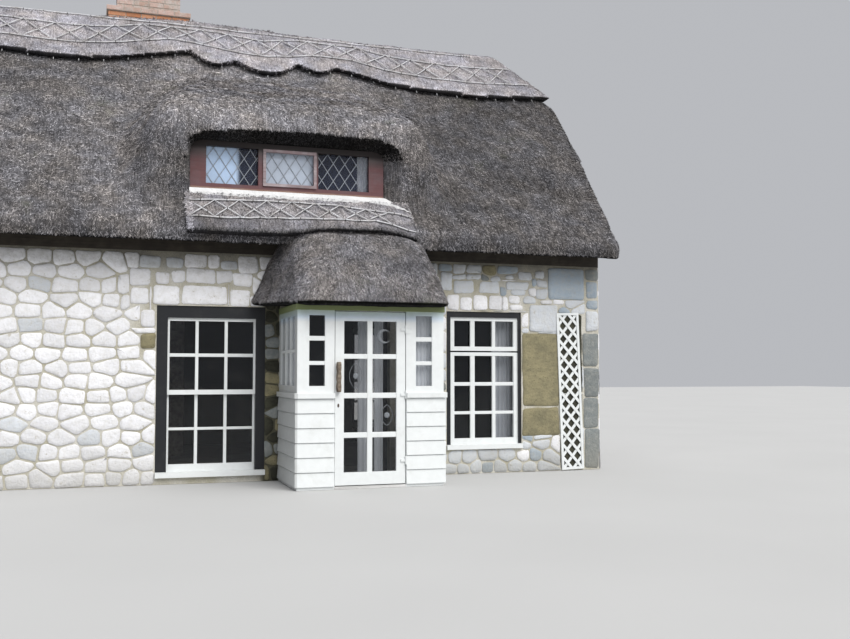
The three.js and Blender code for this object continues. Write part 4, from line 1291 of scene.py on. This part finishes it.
# Curtains, each a sheet in folds behind its window
def hang_curtain(name, start, end, heights, folds, depth):
    """A curtain between two ground points, with its folds square to the line between them."""
    start, end = Vector((*start, 0)), Vector((*end, 0))
    bottom, top = heights
    square = (end - start).cross(Vector((0, 0, 1))).normalized()
    columns, rows = folds * 8, 8
    phase = random.Random(len(name) * 7).uniform(0, 6)
    lines = []
    for fall in (row / rows for row in range(rows + 1)):
        line = []
        for t in (column / columns for column in range(columns + 1)):
            fold = math.sin(2 * math.pi * folds * t + 0.35 * math.sin(1.7 * fall + phase))
            spot = start.lerp(end, t) + square * depth * fold * (0.6 + 0.4 * fall)
            line.append((spot.x, spot.y, top + (bottom - top) * fall))
        lines.append(line)
    faces = []
    for row in range(rows):
        for a in range(row * (columns + 1), row * (columns + 1) + columns):
            faces.append([a, a + 1, a + columns + 2, a + columns + 1])
    shape = Shape()
    shape.add([point for line in lines for point in line], faces)
    piece = shape.make(name, "cloth", smooth=True)


def hang_curtains():
    y, heights = 0.05, (3.58, 4.12)
    hang_curtain("dormer_curtain_left", (-1.80, y), (-1.393, y), heights, 5, 0.014)
    hang_curtain("dormer_curtain_middle", (-1.12, y), (-0.42, y), heights, 8, 0.010)
    hang_curtain("dormer_curtain_right", (0.117, y), (0.28, y), heights, 3, 0.014)
    y, heights = 0.2, (0.40, 2.04)
    hang_curtain("right_window_curtain", (2.03, y), (2.33, y), heights, 6, 0.02)
    x, y, heights = -0.785, -1.03, (1.14, 2.02)
    hang_curtain("porch_curtain_left", (x, -0.98), (x, -0.10), heights, 9, 0.014)
    hang_curtain("porch_curtain_right", (0.52, y), (0.77, y), heights, 5, 0.012)
    y, heights = -0.85, (0.08, 2.03)
    hang_curtain("doorway_curtain_left", (-0.10, y), (0.03, y), heights, 2, 0.012)
    hang_curtain("doorway_curtain_right", (0.10, y), (0.21, y), heights, 2, 0.012)


# Ornaments that hang behind the door's panes: a crescent moon, and two wire drops with a glass ball
HANGING_Y = -1.085
WIRE_Y = HANGING_Y + 0.003
BALL = 0.034


def add_crescent(shape, x, z, radius):
    strips = []
    for turn in range(30, 331, 20):
        across, up = math.cos(math.radians(turn)), math.sin(math.radians(turn))
        outer = (x + radius * across, z + radius * up)
        inner = (x + 0.30 * radius + 0.74 * radius * across, z + 0.74 * radius * up)
        front, back = ([(u, y, v) for u, v in (outer, inner)] for y in (HANGING_Y, HANGING_Y + 0.006))
        strips.append([*front, *back[::-1]])
    shape.skin(strips)


def add_drop(shape, x, z, radius, tall):
    path = []
    for turn in (2 * math.pi * step / 16 for step in range(17)):
        narrow = 1 - 0.55 * abs(math.cos(turn)) ** 3
        path.append((x + radius * math.sin(turn) * narrow, WIRE_Y, z + tall / 2 * math.cos(turn)))
    shape.rod(path, 0.0035, 5)
    rings = []
    for lean in (math.pi * level / 8 for level in range(1, 8)):
        wide, y, up = BALL * math.sin(lean), HANGING_Y, z + BALL * math.cos(lean)
        rings.append([(x + wide * across, y + 0.25 * wide * over, up) for across, over in circle(12)])
    shape.skin(rings)


def hang_ornaments():
    shape = Shape()
    add_crescent(shape, 0.152, 1.745, 0.085)
    add_drop(shape, -0.185, 1.285, 0.075, 0.30)
    add_drop(shape, 0.19, 0.83, 0.07, 0.24)
    shape.rod([(0.152, WIRE_Y, 1.83), (0.152, WIRE_Y, 1.925)], 0.0015, 4)
    shape.make("porch_door_ornaments", "frosted_glass", body="door", smooth=True)


# Nodes that show as they are, by finish. The others are glass or white joinery
NODE_FINISHES = {
    "mortar": (
        "front_wall_left", "front_wall_right", "front_wall_over_door",
        "rear_wall", "left_gable", "right_gable",
    ),
    "floor_stone": ("ground_floor",),
    "lime": ("porch_floor",),
    "dark_timber": ("upper_floor", "front_wall_plate", "rear_wall_plate"),
    "brick_mortar": ("chimney_stack", "chimney_cap"),
    "clay": ("chimney_pot_left", "chimney_pot_right"),
    "red_frame": ("dormer_frame",),
    "grey_timber": ("dormer_casement",),
    "dormer_glass": ("dormer_glass",),
    "black_paint": ("left_window_surround", "right_window_surround"),
    "handle_wood": ("porch_door_handle",),
    "porch_paint": (
        "porch_door", "porch_front_left", "porch_front_right", "porch_left_side", "porch_right_side",
    ),
    "clear_glass": ("porch_front_right_glass", "porch_left_side_glass", "porch_right_side_glass"),
}


def finish_nodes():
    chosen = {name: finish for finish, names in NODE_FINISHES.items() for name in names}
    for name, node in frame["nodes"].items():
        plain = "window_glass" if name.endswith("_glass") else "white_paint"
        for slot in node.material_slots:
            slot.material = FINISHES[chosen.get(name, plain)]


# Floor, light and camera
def set_stage():
    pale = Finish("pale_floor", 0.9, (0.46, 0.46, 0.455))
    pale.shade(pale.noise(0.4, 2, 0.55).spread(0.3, 0.7, 0.98, 1.02))
    pale.done()
    mesh = bpy.data.meshes.new("floor")
    corners = ((-60, -60), (60, -60), (60, 60), (-60, 60))
    mesh.from_pydata([(x, y, -0.002) for x, y in corners], [], [[0, 1, 2, 3]])
    mesh.materials.append(FINISHES["pale_floor"])
    floor = bpy.data.objects.new("floor", mesh)
    bpy.context.scene.collection.objects.link(floor)


def add_sun(name, turn, energy, spread, color):
    lamp = bpy.data.lights.new(name, "SUN")
    lamp.energy = energy
    lamp.angle = math.radians(spread)
    lamp.color = color
    sun = bpy.data.objects.new(name, lamp)
    sun.rotation_euler = [math.radians(angle) for angle in turn]
    bpy.context.scene.collection.objects.link(sun)


def set_light():
    world = bpy.data.worlds.new("soft_sky")
    world.use_nodes = True
    sky = world.node_tree.nodes["Background"]
    sky.inputs["Color"].default_value = (0.93, 0.95, 1.0, 1)
    sky.inputs["Strength"].default_value = 0.52
    bpy.context.scene.world = world
    add_sun("key", (45, 0, 22), 2.6, 40, (1.0, 0.985, 0.96))
    add_sun("overhead", (15, 0, 10), 1.2, 60, (1.0, 1.0, 1.0))
    bpy.context.scene.view_settings.view_transform = "Standard"


def set_camera():
    lens = bpy.data.cameras.new("camera")
    lens.lens = 41.55
    lens.sensor_width = 36
    lens.clip_end = 300
    camera = bpy.data.objects.new("camera", lens)
    camera.location = (-1.941, -14.768, 1.336)
    camera.rotation_euler = (math.pi / 2 + 0.0530, 0, -0.3248)
    bpy.context.scene.collection.objects.link(camera)
    bpy.context.scene.camera = camera


set_camera()
set_light()
set_stage()
mix_finishes()
finish_nodes()
lay_main_thatch()
lay_ridge_cap()
lay_apron()
lay_porch_thatch()
lay_front_stones()
lay_rear_stones()
lay_gable_stones()
lay_bricks()
glaze_ground_windows()
board_porch()
glaze_porch()
glaze_door()
carve_handle()
lead_dormer()
lime_sill()
hang_curtains()
hang_ornaments()
